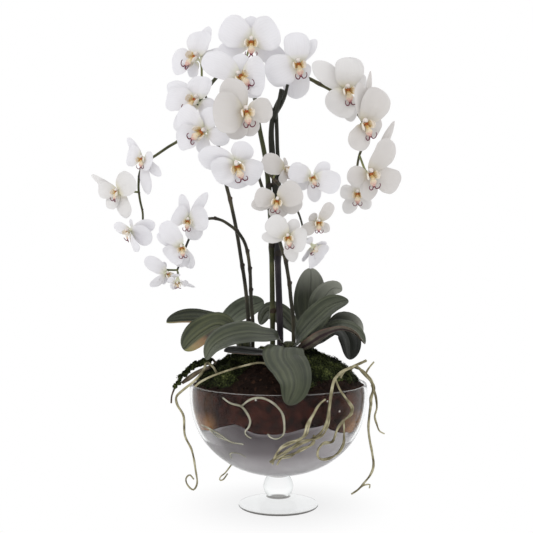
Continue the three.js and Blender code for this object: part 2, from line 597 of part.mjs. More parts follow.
// Blooms: centre, turn of the face to the right and upwards in degrees, lip turn, size,
// and five tepals from the centre: reach sideways, reach upwards, full width.
// The first two are the broad petals, the others the sepals behind them.
const BLOOMS = {
  bloom_top: {
    spike: 'spike_olive', at: [-39, -2, 669], turn: [0, -10], lip: 0, size: 1,
    tepals: [[-43, 24, 46], [38, 18, 50], [0, 37, 30], [-50, -14, 26], [50, -26, 32]],
  },
  bloom_top_left: {
    spike: 'spike_left', at: [-121, 38, 655], turn: [-30, 10], lip: -40, size: 1,
    tepals: [[10, 40, 44], [-38, -8, 42], [18, 49, 24], [50, -6, 34], [-12, -24, 26]],
  },
  bloom_top_middle: {
    spike: 'spike_olive', at: [-55, -25, 614], turn: [10, 0], lip: 40, size: 1,
    tepals: [[-52, 24, 38], [36, 0, 56], [4, 34, 30], [30, -24, 28], [-20, -26, 28]],
  },
  bloom_left_outer: {
    spike: 'spike_left', at: [-118, 0, 584], turn: [-25, 10], lip: -30, size: 1,
    tepals: [[9, 36, 42], [-46, 5, 38], [-46, 31, 30], [24, -16, 30], [-24, -24, 30]],
  },
  bloom_middle: {
    spike: 'spike_olive', at: [-47, -60, 558], turn: [20, -5], lip: 10, size: 1,
    tepals: [[-43, -6, 56], [38, 4, 34], [-26, 43, 40], [-20, -36, 34], [12, -30, 30]],
  },
  bloom_left_low: {
    spike: 'spike_left', at: [-105, -34, 535], turn: [-30, -10], lip: -60, size: 1,
    tepals: [[-38, 29, 46], [-40, -10, 36], [14, 32, 30], [36, -14, 26], [-5, -30, 26]],
  },
  bloom_low_front: {
    spike: 'spike_left', at: [-57, -75, 484], turn: [5, -30], lip: 20, size: 1,
    tepals: [[-34, -12, 40], [33, -14, 40], [0, -32, 44], [-53, 13, 36], [12, 30, 32]],
  },
  bloom_top_right: {
    spike: 'spike_black', at: [28, 8, 639], turn: [10, -5], lip: 10, size: 1,
    tepals: [[-3, 45, 40], [-46, -19, 46], [28, 38, 18], [-2, -48, 40], [18, -14, 24]],
  },
  bloom_right_first: {
    spike: 'spike_black', at: [97, -18, 597], turn: [15, -10], lip: 10, size: 1,
    tepals: [[2, 44, 44], [-20, -35, 48], [-49, 35, 30], [28, 22, 32], [10, -42, 26]],
  },
  bloom_right_second: {
    spike: 'spike_black', at: [119, -45, 544], turn: [20, -10], lip: 20, size: 1,
    tepals: [[22, 48, 42], [-15, -36, 34], [-7, 56, 22], [27, 0, 34], [9, 74, 9]],
  },
  bloom_right_third: {
    spike: 'spike_black', at: [128, -30, 477], turn: [20, -15], lip: 15, size: 1,
    tepals: [[45, -15, 36], [28, 46, 34], [-32, -8, 30], [2, -38, 28], [36, 74, 14]],
  },
  bloom_right_behind: {
    spike: 'spike_black', at: [118, 28, 453], turn: [-10, -10], lip: 0, size: 0.8,
    tepals: [[-26, 4, 22], [24, 6, 26], [0, 24, 22], [-18, -28, 22], [18, -22, 20]],
  },
  bloom_far_left_top: {
    spike: 'spike_olive', at: [-192, -30, 497], turn: [-20, -5], lip: 0, size: 0.65,
    tepals: [[-22, 8, 32], [15, -6, 28], [-23, 31, 13], [7, -50, 17], [26, -24, 15]],
  },
  bloom_far_left: {
    spike: 'spike_olive', at: [-228, -20, 452], turn: [-40, -10], lip: -20, size: 0.65,
    tepals: [[-32, 6, 26], [26, 16, 36], [-44, 26, 12], [-19, -22, 24], [10, -38, 32]],
  },
  bloom_far_left_low: {
    spike: 'spike_olive', at: [-211, -20, 396], turn: [-60, -20], lip: -20, size: 0.65,
    tepals: [[34, -8, 32], [16, -26, 28], [-26, 6, 20], [38, 9, 20], [0, 17, 16]],
  },
  bloom_second_top: {
    spike: 'spike_left_bent', at: [-127, -36, 409], turn: [-5, -5], lip: -5, size: 0.65,
    tepals: [[-20, 12, 32], [28, 6, 36], [-10, 38, 15], [27, 40, 15], [13, -26, 26]],
  },
  bloom_second_middle: {
    spike: 'spike_left_bent', at: [-133, -65, 372], turn: [0, -20], lip: 10, size: 0.65,
    tepals: [[-20, -16, 32], [-24, 33, 28], [-34, 17, 20], [-4, -28, 26], [12, -30, 18]],
  },
  bloom_second_low: {
    spike: 'spike_left_bent', at: [-157, -45, 336], turn: [50, -20], lip: 30, size: 0.5,
    tepals: [[-27, 20, 20], [-21, -17, 16], [11, -10, 14], [-4, 15, 12], [-4, -16, 12]],
  },
  bloom_second_last: {
    spike: 'spike_left_bent', at: [-140, -56, 325], turn: [0, -60], lip: 0, size: 0.5,
    tepals: [[-12, 4, 15], [15, -1, 17], [23, -9, 8], [-8, -12, 12], [-3, 10, 14]],
  },
  bloom_centre_top: {
    spike: 'spike_centre', at: [8, -28, 483], turn: [60, 0], lip: 20, size: 0.65,
    tepals: [[-32, 8, 32], [-7, -19, 20], [2, 16, 14], [12, -12, 14], [-6, 15, 16]],
  },
  bloom_centre_right: {
    spike: 'spike_centre', at: [47, -50, 469], turn: [-5, -10], lip: 20, size: 0.65,
    tepals: [[-33, 11, 28], [38, -11, 32], [23, 19, 19], [4, -34, 20], [-22, -14, 18]],
  },
  bloom_centre_front: {
    spike: 'spike_centre', at: [-3, -75, 435], turn: [0, -15], lip: -10, size: 0.75,
    tepals: [[-30, 7, 28], [32, 16, 36], [-35, -7, 20], [35, -7, 30], [4, -24, 28]],
  },
  bloom_centre_low: {
    spike: 'spike_centre', at: [12, -80, 385], turn: [0, -10], lip: 10, size: 0.7,
    tepals: [[-26, 25, 30], [25, -5, 34], [-36, 0, 17], [12, 24, 18], [8, -34, 20]],
  },
  bloom_centre_side: {
    spike: 'spike_centre', at: [54, -60, 406], turn: [10, -10], lip: 0, size: 0.65,
    tepals: [[-23, -14, 18], [18, 26, 17], [-11, 10, 15], [16, -12, 14], [0, -12, 14]],
  },
  bloom_centre_last: {
    spike: 'spike_centre', at: [49, -40, 373], turn: [60, -40], lip: -30, size: 0.5,
    tepals: [[2, -28, 33], [17, -11, 26], [19, 4, 13], [-14, -21, 18], [-8, 12, 12]],
  },
};
const PETAL_OUTLINE = [[0, 0.05], [0.24, 0.76], [0.6, 1], [0.87, 0.78], [1, 0.34]];
const SEPAL_OUTLINE = [[0, 0.08], [0.34, 0.88], [0.74, 0.9], [1, 0.22]];
const LIP_OUTLINE = [[0, 0.12], [0.36, 1], [0.62, 0.36], [0.82, 0.5], [1, 0.12]];
const HUB = 3.6;
const STALK_START = 7;

// Places of the five tepals in front of and behind the bloom's centre, at root and tip
const LAYERS = [0.9, 2.4, -1.2, -2.6, -4];
const LIFTS = [2, 6, -4, -7, -10];
const LIP_LAYER = 4;
const LEAST_ANGLE = radians(46);

// Direction that a bloom faces
function facing([turn, rise]) {
  const [a, b] = [radians(turn), radians(rise)];
  return new THREE.Vector3(Math.sin(a) * Math.cos(b), -Math.cos(a) * Math.cos(b), Math.sin(b));
}

// Downward direction in the bloom's own face, turned sideways for the lip
function lipDown(face, lip) {
  const down = new THREE.Vector3(0, 0, -1);
  down.addScaledVector(face, -down.dot(face)).normalize();
  return down.applyAxisAngle(face, radians(lip));
}

// One tepal: it starts a little out from the axis, in its own layer
function tepal(bloom, face, [sideways, upwards, width], order) {
  const centre = vec(bloom.at);
  const broad = order < 2;
  const layerOffset = LAYERS[order];
  const lift = LIFTS[order] * bloom.size;
  const reach = Math.hypot(sideways, upwards);
  const flat = (lift - face.x * sideways - face.z * upwards) / Math.min(face.y, -0.35);
  const depth = THREE.MathUtils.clamp(flat, -0.55 * reach, 0.55 * reach);
  const tip = centre.clone().add(new THREE.Vector3(sideways, depth, upwards));
  const outwards = tip.clone().sub(centre).projectOnPlane(face).normalize();
  const root = centre.clone().addScaledVector(outwards, HUB).addScaledVector(face, layerOffset);
  const bow = root.clone().lerp(tip, 0.5).addScaledVector(face, broad ? reach * 0.1 : reach * 0.05);
  return {
    path: [root.toArray(), bow.toArray(), tip.toArray()],
    up: face.toArray(),
    width,
    outline: broad ? PETAL_OUTLINE : SEPAL_OUTLINE,
    thick: PETAL_THICK,
    columns: broad || bloom.size > 0.7 ? 2 : 1,
    fold: broad ? 0.08 : -0.08,
    wave: bloom.size,
    seed: order + Math.round(width),
    layerOffset,
  };
}

// Lip: a trough with two raised side lobes near its root and a narrow middle lobe
function lipBlade(bloom, face) {
  const centre = vec(bloom.at);
  const down = lipDown(face, bloom.lip);
  const q = bloom.size;
  const place = (out, low) => centre.clone()
    .addScaledVector(face, out * q)
    .addScaledVector(down, low * q)
    .toArray();
  const root = centre.clone().addScaledVector(face, LIP_LAYER).addScaledVector(down, HUB);
  return {
    path: [root.toArray(), place(10, 9), place(12, 17), place(9, 25)],
    up: face.toArray(),
    width: 19 * q,
    outline: LIP_OUTLINE,
    thick: 1.4,
    columns: 2,
    fold: 0.5,
    layerOffset: LIP_LAYER,
  };
}

// Limbs in order round the hub, their roots pushed apart where they would meet
function rootsApart(limbs, centre, face, clock, side) {
  for (const limb of limbs) {
    const from = vec(limb.path[0]).sub(centre);
    limb.angle = Math.atan2(from.dot(side), from.dot(clock));
  }
  limbs.sort((a, b) => b.angle - a.angle);
  for (let round = 0; round < 60; round += 1) {
    limbs.forEach((limb, i) => {
      const next = limbs[(i + 1) % limbs.length];
      const turn = i + 1 === limbs.length ? 2 * Math.PI : 0;
      const lack = LEAST_ANGLE - (limb.angle - next.angle + turn);
      if (lack > 0) {
        limb.angle += lack / 2;
        next.angle -= lack / 2;
      }
    });
  }
  for (const limb of limbs) {
    limb.path[0] = centre.clone()
      .addScaledVector(clock, HUB * Math.cos(limb.angle))
      .addScaledVector(side, HUB * Math.sin(limb.angle))
      .addScaledVector(face, limb.layerOffset)
      .toArray();
  }
}

// Bloom grown as one body: tepals and lip stand around a small hub, whose front rises
// to the column and whose back runs out to the flower stalk
function bloomBody(bloom) {
  const face = facing(bloom.turn);
  const centre = vec(bloom.at);
  const clock = lipDown(face, 0);
  const side = new THREE.Vector3().crossVectors(face, clock);
  const limbs = [...bloom.tepals.map((reach, order) => tepal(bloom, face, reach, order)), lipBlade(bloom, face)];
  rootsApart(limbs, centre, face, clock, side);
  const points = [
    centre.clone().addScaledVector(face, 6 + 4 * bloom.size),
    centre.clone().addScaledVector(face, -STALK_START),
  ];
  const faces = [];
  const front = [];
  const back = [];
  const ends = [];
  for (const limb of limbs) {
    const start = points.length;
    const count = limb.outline.length * (limb.columns + 1);
    points.push(...bladeCorners(limb));
    faces.push(...bladeFaces(limb.outline.length, limb.columns, start, true));
    for (let j = 0; j <= limb.columns; j += 1) {
      front.push(start + j);
      back.push(start + count + j);
    }
    ends.push([start, start + count, start + limb.columns, start + count + limb.columns]);
  }
  front.forEach((corner, i) => {
    const next = (i + 1) % front.length;
    faces.push([0, front[next], corner], [1, back[i], back[next]]);
  });
  ends.forEach(([, , upper, lower], i) => {
    const [nextUpper, nextLower] = ends[(i + 1) % ends.length];
    faces.push([upper, nextUpper, nextLower], [upper, nextLower, lower]);
  });
  return bodyOf(points, faces);
}

// Point just behind a bloom, where its flower stalk ends
function stalkEnd(bloom) {
  return vec(bloom.at).addScaledVector(facing(bloom.turn), -STALK_START - 1.2 * GAP);
}

// Place along a spike that lies nearest to a point
function nearestPlace(curve, point) {
  let best = 0.3;
  for (let step = 30; step <= 100; step += 1) {
    const nearer = curve.getPointAt(step / 100).distanceTo(point) < curve.getPointAt(best).distanceTo(point);
    if (nearer) best = step / 100;
  }
  return best;
}

// Flower stalk from its place on the spike to the back of the bloom
function stalk(bloom, curve, place, spikeRadius) {
  const face = facing(bloom.turn);
  const end = stalkEnd(bloom);
  const start = curve.getPointAt(place);
  start.addScaledVector(end.clone().sub(start).normalize(), -spikeRadius * 0.7);
  const middle = start.clone().lerp(end, 0.55).addScaledVector(face, -3);
  const before = end.clone().addScaledVector(face, -4);
  return rod({
    path: [start.toArray(), middle.toArray(), before.toArray(), end.toArray()],
    radius: [[0, Math.min(1.6, spikeRadius)], [1, 1.5]], sides: 4, steps: 3,
  });
}

function spikeBody(name) {
  const { path, radius, rings } = SPIKES[name];
  const curve = new THREE.CatmullRomCurve3(path.map(vec), false, 'centripetal');
  const blooms = Object.values(BLOOMS).filter((bloom) => bloom.spike === name);
  const places = blooms.map((bloom) => nearestPlace(curve, stalkEnd(bloom)));
  const stops = [...new Set(places)];
  const stem = rod({ path, radius, rings, stops, sides: 5, steps: path.length, crowd: 0.7 });
  const tip = radius[radius.length - 1][1];
  const stalks = blooms.map((bloom, i) => stalk(bloom, curve, places[i], tip));
  const shoots = name === 'spike_black' ? CUT_SHOOTS.map((shoot) => rod({ ...shoot, steps: 3 })) : [];
  return fuse([stem, ...stalks, ...shoots]);
}

// The same path made wider, for the hole that a stem or root stands in
function roomFor({ path, radius, steps }, extra) {
  const wide = radius.map(([place, r]) => [place, r + extra]);
  return rod({ path, radius: wide, sides: ROOT_SIDES, steps });
}

function holes() {
  const low = ([x, y, z]) => [x, y, z - GAP];
  const stems = Object.values(SPIKES).map(({ path, radius }) => rod({
    path: [low(path[0]), path[1], path[2]],
    radius: [[0, radius[0][1] + 1.2], [1, radius[0][1] + 1.2]], sides: 6, steps: 2,
  }));
  const crowns = Object.values(CROWNS).map(([base, top]) => rod({
    path: [low(base), top], radius: CROWN_RADIUS.map(([place, r]) => [place, r + 0.6]), sides: CROWN_SIDES, steps: 2,
  }));
  return [...stems, ...crowns];
}

function rootRooms() {
  return Object.values(ROOTS).flat().map((strand) => roomFor(strand, 1.5 * GAP));
}

// Scene of named pieces
const group = new THREE.Group();
group.name = 'moth_orchid_in_glass_vase';

function add(name, body, { color, roughness, metalness }) {
  const mesh = body.getMesh();
  const geometry = new THREE.BufferGeometry();
  geometry.setAttribute('position', new THREE.BufferAttribute(Float32Array.from(mesh.vertProperties), 3));
  geometry.setIndex(Array.from(mesh.triVerts));
  geometry.computeVertexNormals();
  const piece = new THREE.Mesh(geometry, new THREE.MeshStandardMaterial({ color, roughness, metalness }));
  piece.name = name;
  group.add(piece);
}

const rooms = rootRooms();
add('vase_glass', vase(), GLASS);
add('resin_water', cutAway(resinWater(), rooms), RESIN);
add('potting_soil', cutAway(pottingSoil(), [...holes(), ...rooms]), SOIL);
add('moss_cover', cutAway(mossCover(), [...holes(), ...rooms]), MOSS);
for (const [name, path] of Object.entries(CROWNS)) {
  add(name, rod({ path, radius: CROWN_RADIUS, sides: CROWN_SIDES, steps: 3, stops: [0.9] }), CROWN);
}
for (const name of Object.keys(SPIKES)) add(name, spikeBody(name), SPIKES[name].look);
Object.entries(LEAVES).forEach(([name, leaf], order) => {
  const shape = { ...leaf, ...seated(leaf), outline: leafOutline(leaf.widest), thick: LEAF_THICK, columns: 2, wave: 3 };
  add(name, blade({ ...shape, seed: order }), LEAF);
});
for (const [name, strands] of Object.entries(ROOTS)) {
  add(name, fuse(strands.map((strand) => rod({ ...strand, sides: ROOT_SIDES }))), ROOT);
}
for (const [name, bloom] of Object.entries(BLOOMS)) add(name, bloomBody(bloom), PETAL);

export default group;
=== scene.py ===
# %% [markdown]
# # Moth orchid in a glass vase
# A footed bowl of clear blown glass holds a set resin that looks like water, dark potting
# soil and moss. Three orchids grow in it: strap leaves, five flower spikes with white
# blooms, and loose roots that hang over the rim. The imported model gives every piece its
# place, and this file gives each of them its final surface and finish.
# Lengths in the lists are millimetres, and MM turns them into Blender's metres.

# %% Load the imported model
import bisect
import math
import random
from functools import partial

import bmesh
import bpy
from mathutils import Matrix, Vector, noise


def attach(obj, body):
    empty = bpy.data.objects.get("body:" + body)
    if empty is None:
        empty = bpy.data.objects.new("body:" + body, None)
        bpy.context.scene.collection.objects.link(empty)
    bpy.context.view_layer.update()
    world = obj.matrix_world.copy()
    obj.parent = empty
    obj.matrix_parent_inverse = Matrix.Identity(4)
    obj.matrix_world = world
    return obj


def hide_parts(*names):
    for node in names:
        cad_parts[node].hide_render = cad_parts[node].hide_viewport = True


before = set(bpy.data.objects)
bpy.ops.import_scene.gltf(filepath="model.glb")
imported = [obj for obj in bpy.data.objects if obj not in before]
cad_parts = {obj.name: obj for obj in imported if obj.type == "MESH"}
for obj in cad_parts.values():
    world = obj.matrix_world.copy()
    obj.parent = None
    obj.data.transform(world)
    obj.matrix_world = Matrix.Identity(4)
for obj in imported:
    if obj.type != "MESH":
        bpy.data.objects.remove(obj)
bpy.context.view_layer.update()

MM = 0.001
random.seed(11)

# %% [markdown]
# ## Camera, floor and light
# The photograph looks level at the middle of the plant from a little over a metre away, and
# its horizon lies in the middle of the frame. So the camera needs no tilt and no shift.
# A catalogue picture of this kind has a white paper sweep and large soft lamps. The floor is
# a wide disc that turns from pale paper near the foot to pure white far out, which hides
# its edge from every side, and two area lamps shape the petals.

# %% Camera
PHOTO_SIDE = 533
FOCAL_PIXELS = 867
SENSOR = 36

camera = bpy.data.cameras.new("camera")
camera.sensor_width = SENSOR
camera.lens = SENSOR * FOCAL_PIXELS / PHOTO_SIDE
camera.clip_start = 0.05
camera_object = bpy.data.objects.new("camera", camera)
camera_object.location = Vector((-17.1, -1254, 345)) * MM
camera_object.rotation_euler = (math.radians(90), 0, 0)
scene = bpy.context.scene
scene.collection.objects.link(camera_object)
scene.camera = camera_object
scene.view_settings.view_transform = "Standard"
print("lens", round(camera.lens, 2), "mm")

# %% Colours and nodes
def srgb(code):
    """Linear colour with alpha from an sRGB hex code"""
    parts = [int(code[i:i + 2], 16) / 255 for i in (0, 2, 4)]
    return [c / 12.92 if c < 0.04045 else ((c + 0.055) / 1.055) ** 2.4 for c in parts] + [1.0]


EASED = {"interpolation_type": "SMOOTHSTEP"}


def add_node(tree, kind, inputs=None, stops=(), **settings):
    """Node with its settings, its inputs and the stops of a colour ramp. An input is a value, a hex
    colour, a socket to link, or a node, whose first output is linked, or the colour that it mixes"""
    made = tree.nodes.new("ShaderNode" + kind)
    for name, value in settings.items():
        setattr(made, name, value)
    for socket, value in (inputs or {}).items():
        if isinstance(value, bpy.types.Node):
            value = value.outputs[2 if getattr(value, "data_type", "") == "RGBA" else 0]
        if isinstance(value, bpy.types.NodeSocket):
            tree.links.new(value, made.inputs[socket])
        else:
            made.inputs[socket].default_value = srgb(value) if isinstance(value, str) else value
    for i, (place, colour) in enumerate(stops):
        ramp = made.color_ramp.elements
        element = ramp[i] if i < 2 else ramp.new(1.0)
        element.position = place
        element.color = srgb(colour)
    return made


def new_material(name):
    """An empty material, and the function that adds a node to it"""
    material = bpy.data.materials.new(name)
    material.use_nodes = True
    material.node_tree.nodes.clear()
    return material, partial(add_node, material.node_tree)


print("white paper", [round(c, 2) for c in srgb("f6f6f8")])

# %% World and lamps
WORLD_LIGHT = 0.68
SEEN_THROUGH = 0.97
ROOM_BEHIND = 0.1
SWEEP_MIRRORED = 1.0

world = bpy.data.worlds.new("studio")
world.use_nodes = True
world.node_tree.nodes.clear()
add = partial(add_node, world.node_tree)
path = add("LightPath")
split = add("SeparateXYZ", {0: add("TexCoord").outputs["Generated"]})
mirrored = add("MapRange", {"Value": split.outputs["Y"], "From Min": -0.95, "From Max": 0.1,
                            "To Min": ROOM_BEHIND, "To Max": SWEEP_MIRRORED}, **EASED)
base = add("Mix", {0: path.outputs["Is Glossy Ray"], 2: WORLD_LIGHT, 3: mirrored})
clear = add("Mix", {0: path.outputs["Is Transmission Ray"], 2: base, 3: SEEN_THROUGH})
seen = add("Mix", {0: path.outputs["Is Camera Ray"], 2: clear, 3: 1.0})
sky = add("Background", {"Strength": seen, "Color": (1, 1, 1, 1)})
add("OutputWorld", {"Surface": sky})
scene.world = world


def lamp(name, place, target, size, watts):
    light = bpy.data.lights.new(name, "AREA")
    light.shape = "DISK"
    light.size = size
    light.energy = watts
    holder = bpy.data.objects.new(name, light)
    holder.location = place
    holder.rotation_euler = (Vector(target) - Vector(place)).to_track_quat("-Z", "Y").to_euler()
    scene.collection.objects.link(holder)
    return holder


key = lamp("key_light", (-1.1, -1.3, 1.6), (0, 0, 0.4), 0.9, 9)
fill = lamp("side_light", (1.5, -0.6, 0.9), (0, 0, 0.4), 1.2, 3)
for holder in (key, fill):
    holder.visible_glossy = False
    holder.visible_transmission = False

# %% Floor
FLOOR_RADIUS = 8.0
PAPER_RADIUS = 0.05
WHITE_RADIUS = 0.18
PAPER_GLOW = 0.8

floor_bm = bmesh.new()
bmesh.ops.create_circle(floor_bm, cap_ends=True, radius=FLOOR_RADIUS, segments=96)
bmesh.ops.translate(floor_bm, verts=floor_bm.verts, vec=(0, 0, -0.0004))
floor_mesh = bpy.data.meshes.new("floor")
floor_bm.to_mesh(floor_mesh)
floor_bm.free()
floor = bpy.data.objects.new("floor", floor_mesh)
scene.collection.objects.link(floor)
paper, add = new_material("white_paper_sweep")
spot = add("TexCoord").outputs["Object"]
reach = add("VectorMath", {0: spot}, operation="LENGTH")
fade = add("MapRange", {"Value": reach.outputs["Value"], "From Min": PAPER_RADIUS, "From Max": WHITE_RADIUS,
                        "To Min": PAPER_GLOW}, **EASED)
split = add("SeparateXYZ", {0: spot})
front = add("MapRange", {"Value": split.outputs["Y"], "From Min": -0.45, "From Max": -0.08,
                         "To Min": ROOM_BEHIND, "To Max": 1.0})
path = add("LightPath")
mirror = add("Math", {0: path.outputs["Is Glossy Ray"], 1: path.outputs["Is Transmission Ray"]},
             use_clamp=True, operation="SUBTRACT")
lit = add("Mix", {0: mirror, 2: 1.0, 3: front})
matt = add("BsdfDiffuse", {"Color": "f7f7fa"})
glow = add("Emission", {"Strength": lit, "Color": (1, 1, 1, 1)})
both = add("MixShader", {0: fade, 1: matt, 2: glow})
add("OutputMaterial", {"Surface": both})
floor_mesh.materials.append(paper)
print("floor", 2 * FLOOR_RADIUS, "m across")

# %% [markdown]
# ## Curves, tubes and blades
# Nearly everything that grows is one of two shapes: a tube along a bent route, such as a
# stem, a stalk or a root, or a thin blade, such as a leaf or a petal. A curve object with a
# bevel could draw the tubes, but rings that are bridged one to the next let each stem swell
# at its nodes. A blade is two grids laid over each other and joined at the rim, because then
# its upper side and its underside can wear different skins and its edge stays thin.

# %% Route along a smooth curve
def curve_points(points, per_span=14):
    """Points of a centripetal Catmull-Rom curve"""
    nodes = [Vector(p) * MM for p in points]
    nodes = [2 * nodes[0] - nodes[1], *nodes, 2 * nodes[-1] - nodes[-2]]
    line = []
    for a, b, c, d in zip(nodes, nodes[1:], nodes[2:], nodes[3:]):
        t1 = (b - a).length ** 0.5
        t2 = t1 + (c - b).length ** 0.5
        t3 = t2 + (d - c).length ** 0.5
        for k in range(per_span):
            t = t1 + (t2 - t1) * k / per_span
            ab = a.lerp(b, t / t1)
            bc = b.lerp(c, (t - t1) / (t2 - t1))
            cd = c.lerp(d, (t - t2) / (t3 - t2))
            abc = ab.lerp(bc, t / t2)
            bcd = bc.lerp(cd, (t - t1) / (t3 - t1))
            line.append(abc.lerp(bcd, (t - t1) / (t2 - t1)))
    line.append(nodes[-2])
    return line


class Route:
    """A smooth curve that is read by the share of its length"""

    def __init__(self, points):
        self.line = curve_points(points)
        self.run = [0.0]
        for a, b in zip(self.line, self.line[1:]):
            self.run.append(self.run[-1] + (b - a).length)
        self.length = self.run[-1]

    def point(self, share):
        want = min(max(share, 0.0), 1.0) * self.length
        i = min(max(bisect.bisect_right(self.run, want) - 1, 0), len(self.line) - 2)
        part = (want - self.run[i]) / (self.run[i + 1] - self.run[i])
        return self.line[i].lerp(self.line[i + 1], part)

    def ahead(self, share):
        step = 0.01
        return (self.point(share + step) - self.point(share - step)).normalized()


def profile(pairs, place):
    """Piecewise value of a list of (place, value) pairs"""
    for (p0, v0), (p1, v1) in zip(pairs, pairs[1:]):
        if place <= p1:
            return v0 + (v1 - v0) * (place - p0) / (p1 - p0)
    return pairs[-1][1]


def smooth_step(value):
    t = min(max(value, 0.0), 1.0)
    return t * t * (3 - 2 * t)


def square_to(vector, axis):
    """Unit vector along the part of a vector that stands square to an axis"""
    return (vector - axis * vector.dot(axis)).normalized()


print("test route", round(Route([(0, 0, 0), (0, 0, 50), (20, 0, 90)]).length, 4), "m")

# %% Tube and blade
def tube(bm, route, radius_at, sides, steps, slot=0):
    """Closed tube: circles along the route, bridged one to the next and capped"""
    ahead = route.ahead(0)
    turn = ahead.to_track_quat("Z", "Y")
    rings = []
    for i in range(steps + 1):
        share = i / steps
        new_ahead = route.ahead(share)
        turn = ahead.rotation_difference(new_ahead) @ turn
        ahead = new_ahead
        place = Matrix.Translation(route.point(share)) @ turn.to_matrix().to_4x4()
        made = bmesh.ops.create_circle(bm, radius=radius_at(share), segments=sides, matrix=place)
        rings.append(list({edge for vert in made["verts"] for edge in vert.link_edges}))
    faces = []
    for low, high in zip(rings, rings[1:]):
        faces += bmesh.ops.bridge_loops(bm, edges=low + high)["faces"]
    for end in (rings[0], rings[-1]):
        faces += bmesh.ops.edgeloop_fill(bm, edges=end)["faces"]
    for face in faces:
        face.smooth = True
        face.material_index = slot
    bmesh.ops.recalc_face_normals(bm, faces=faces)
    return faces


def blade(bm, rows, columns, place, slots=(0, 0)):
    """Thin closed blade from place(along, across, side), where across runs from -1 to 1"""
    uv = bm.loops.layers.uv.verify()
    corners = []
    sides = []
    for side, slot in zip((1, -1), slots):
        grid = bmesh.ops.create_grid(bm, x_segments=columns, y_segments=rows, size=0.5)["verts"]
        faces = list({face for vert in grid for face in vert.link_faces})
        for face in faces:
            face.smooth = True
            face.material_index = slot
            for loop in face.loops:
                loop[uv].uv = (loop.vert.co.x + 0.5, loop.vert.co.y + 0.5)
        if side < 0:
            bmesh.ops.reverse_faces(bm, faces=faces)
        for vert in grid:
            vert.co = place(vert.co.y + 0.5, vert.co.x * 2, side)
        corners += grid
        sides.append(faces)
    bmesh.ops.remove_doubles(bm, verts=corners, dist=0.004 * MM)
    under = {face for face in sides[1] if face.is_valid}
    for face in sides[0]:
        if face.is_valid:
            for edge in face.edges:
                edge.smooth = not any(other in under for other in edge.link_faces)
    bmesh.ops.recalc_face_normals(bm, faces=[face for side in sides for face in side if face.is_valid])


def lens(along, across):
    """Share of a blade's thickness at a place: full along its middle, none at its rim"""
    return math.sqrt(max(0, 1 - across ** 4)) * (1 if 0 < along < 1 else 0)


def off_rim(along, across):
    """1 inside a blade of even thickness, and 0 at its rim, where its two sides meet"""
    return 1 if 0 < along < 1 and abs(across) < 1 else 0


def finish(name, bm, materials, node):
    """Object from a bmesh: it takes a CAD node's place and rides on the root body"""
    mesh = bpy.data.meshes.new(name)
    bm.to_mesh(mesh)
    bm.free()
    for material in materials:
        mesh.materials.append(material)
    piece = bpy.data.objects.new(name, mesh)
    scene.collection.objects.link(piece)
    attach(piece, "root")
    if node:
        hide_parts(node)
    return piece


print("helpers ready")

# %% [markdown]
# ## The footed bowl
# The vase is one piece of clear soda-lime glass: a flat foot pressed to a thin edge, a solid
# ball knob and a blown bowl with a wall of about 3 mm. It was shaped while turning, so its
# profile is drawn once and spun about the vertical axis. Clear glass bends what is behind it
# and turns grey where one looks along its wall, which Layer Weight gives.

# %% Bowl sizes
FOOT_RADIUS = 57.4
KNOB_RADIUS = 21.7
BOWL_RADIUS = 128
BOWL_WIDEST = 165
BOWL_BOTTOM = 46
BOWL_POWER = 2.13
RIM = 177
WALL = 3
BOTTOM_WALL = 5
GAP = 0.3
FILL_INSET = 0.8


def bowl_radius(z):
    """Outer radius of the bowl at a height"""
    if z >= BOWL_WIDEST:
        return BOWL_RADIUS - ((z - BOWL_WIDEST) / 12) ** 2
    drop = min(1, (BOWL_WIDEST - z) / (BOWL_WIDEST - BOWL_BOTTOM))
    return BOWL_RADIUS * (1 - drop ** BOWL_POWER) ** (1 / BOWL_POWER)


def bowl_line(inward, lift, top, steps):
    """Points of the bowl's wall from its bottom to a height, moved inwards"""
    line = []
    for i in range(steps + 1):
        z = BOWL_BOTTOM + 0.8 + (top - BOWL_BOTTOM - 0.8) * (i / steps) ** 1.7
        low = max(0, (BOWL_WIDEST - z) / (BOWL_WIDEST - BOWL_BOTTOM))
        line.append((max(bowl_radius(z) - inward * (1 - 0.3 * low), 0.2), z + lift * low ** 2))
    return line


def polar(radius, angle, z=0):
    """Place at a radius and an angle round the vertical axis"""
    return Vector((radius * math.cos(angle), radius * math.sin(angle), z))


def spun(bm, line, steps, slot=0):
    """Closed body of revolution about the vertical axis from (radius, height) points"""
    verts = [bm.verts.new(Vector((r, 0, z)) * MM) for r, z in line]
    edges = [bm.edges.new(pair) for pair in zip(verts, verts[1:])]
    bmesh.ops.spin(bm, geom=verts + edges, cent=(0, 0, 0), axis=(0, 0, 1), angle=2 * math.pi,
                   steps=steps, use_merge=True)
    bmesh.ops.remove_doubles(bm, verts=bm.verts, dist=0.01 * MM)
    for face in bm.faces:
        face.smooth = True
        face.material_index = slot
    bmesh.ops.recalc_face_normals(bm, faces=bm.faces)


print("bowl", 2 * BOWL_RADIUS, "mm wide, rim at", RIM, "mm")

# %% Clear soda-lime glass
FOOT_IOR = 1.2
BOWL_IOR = 1.16
RIM_IOR = 1.45
# Rings of painted shade on the glass, as (height, half width, radius): dark lines at the foot's edge, the
# neck and the top of the knob
EDGE_SHADE_BANDS = [(0.4, 2.6, 57.4), (14.2, 2.3, 16.4)]
KNOB_SHADE_BANDS = [(14.2, 2.3, 16.4), (44.6, 1.5, 15.4)]
KNOB_FROM = 14.4


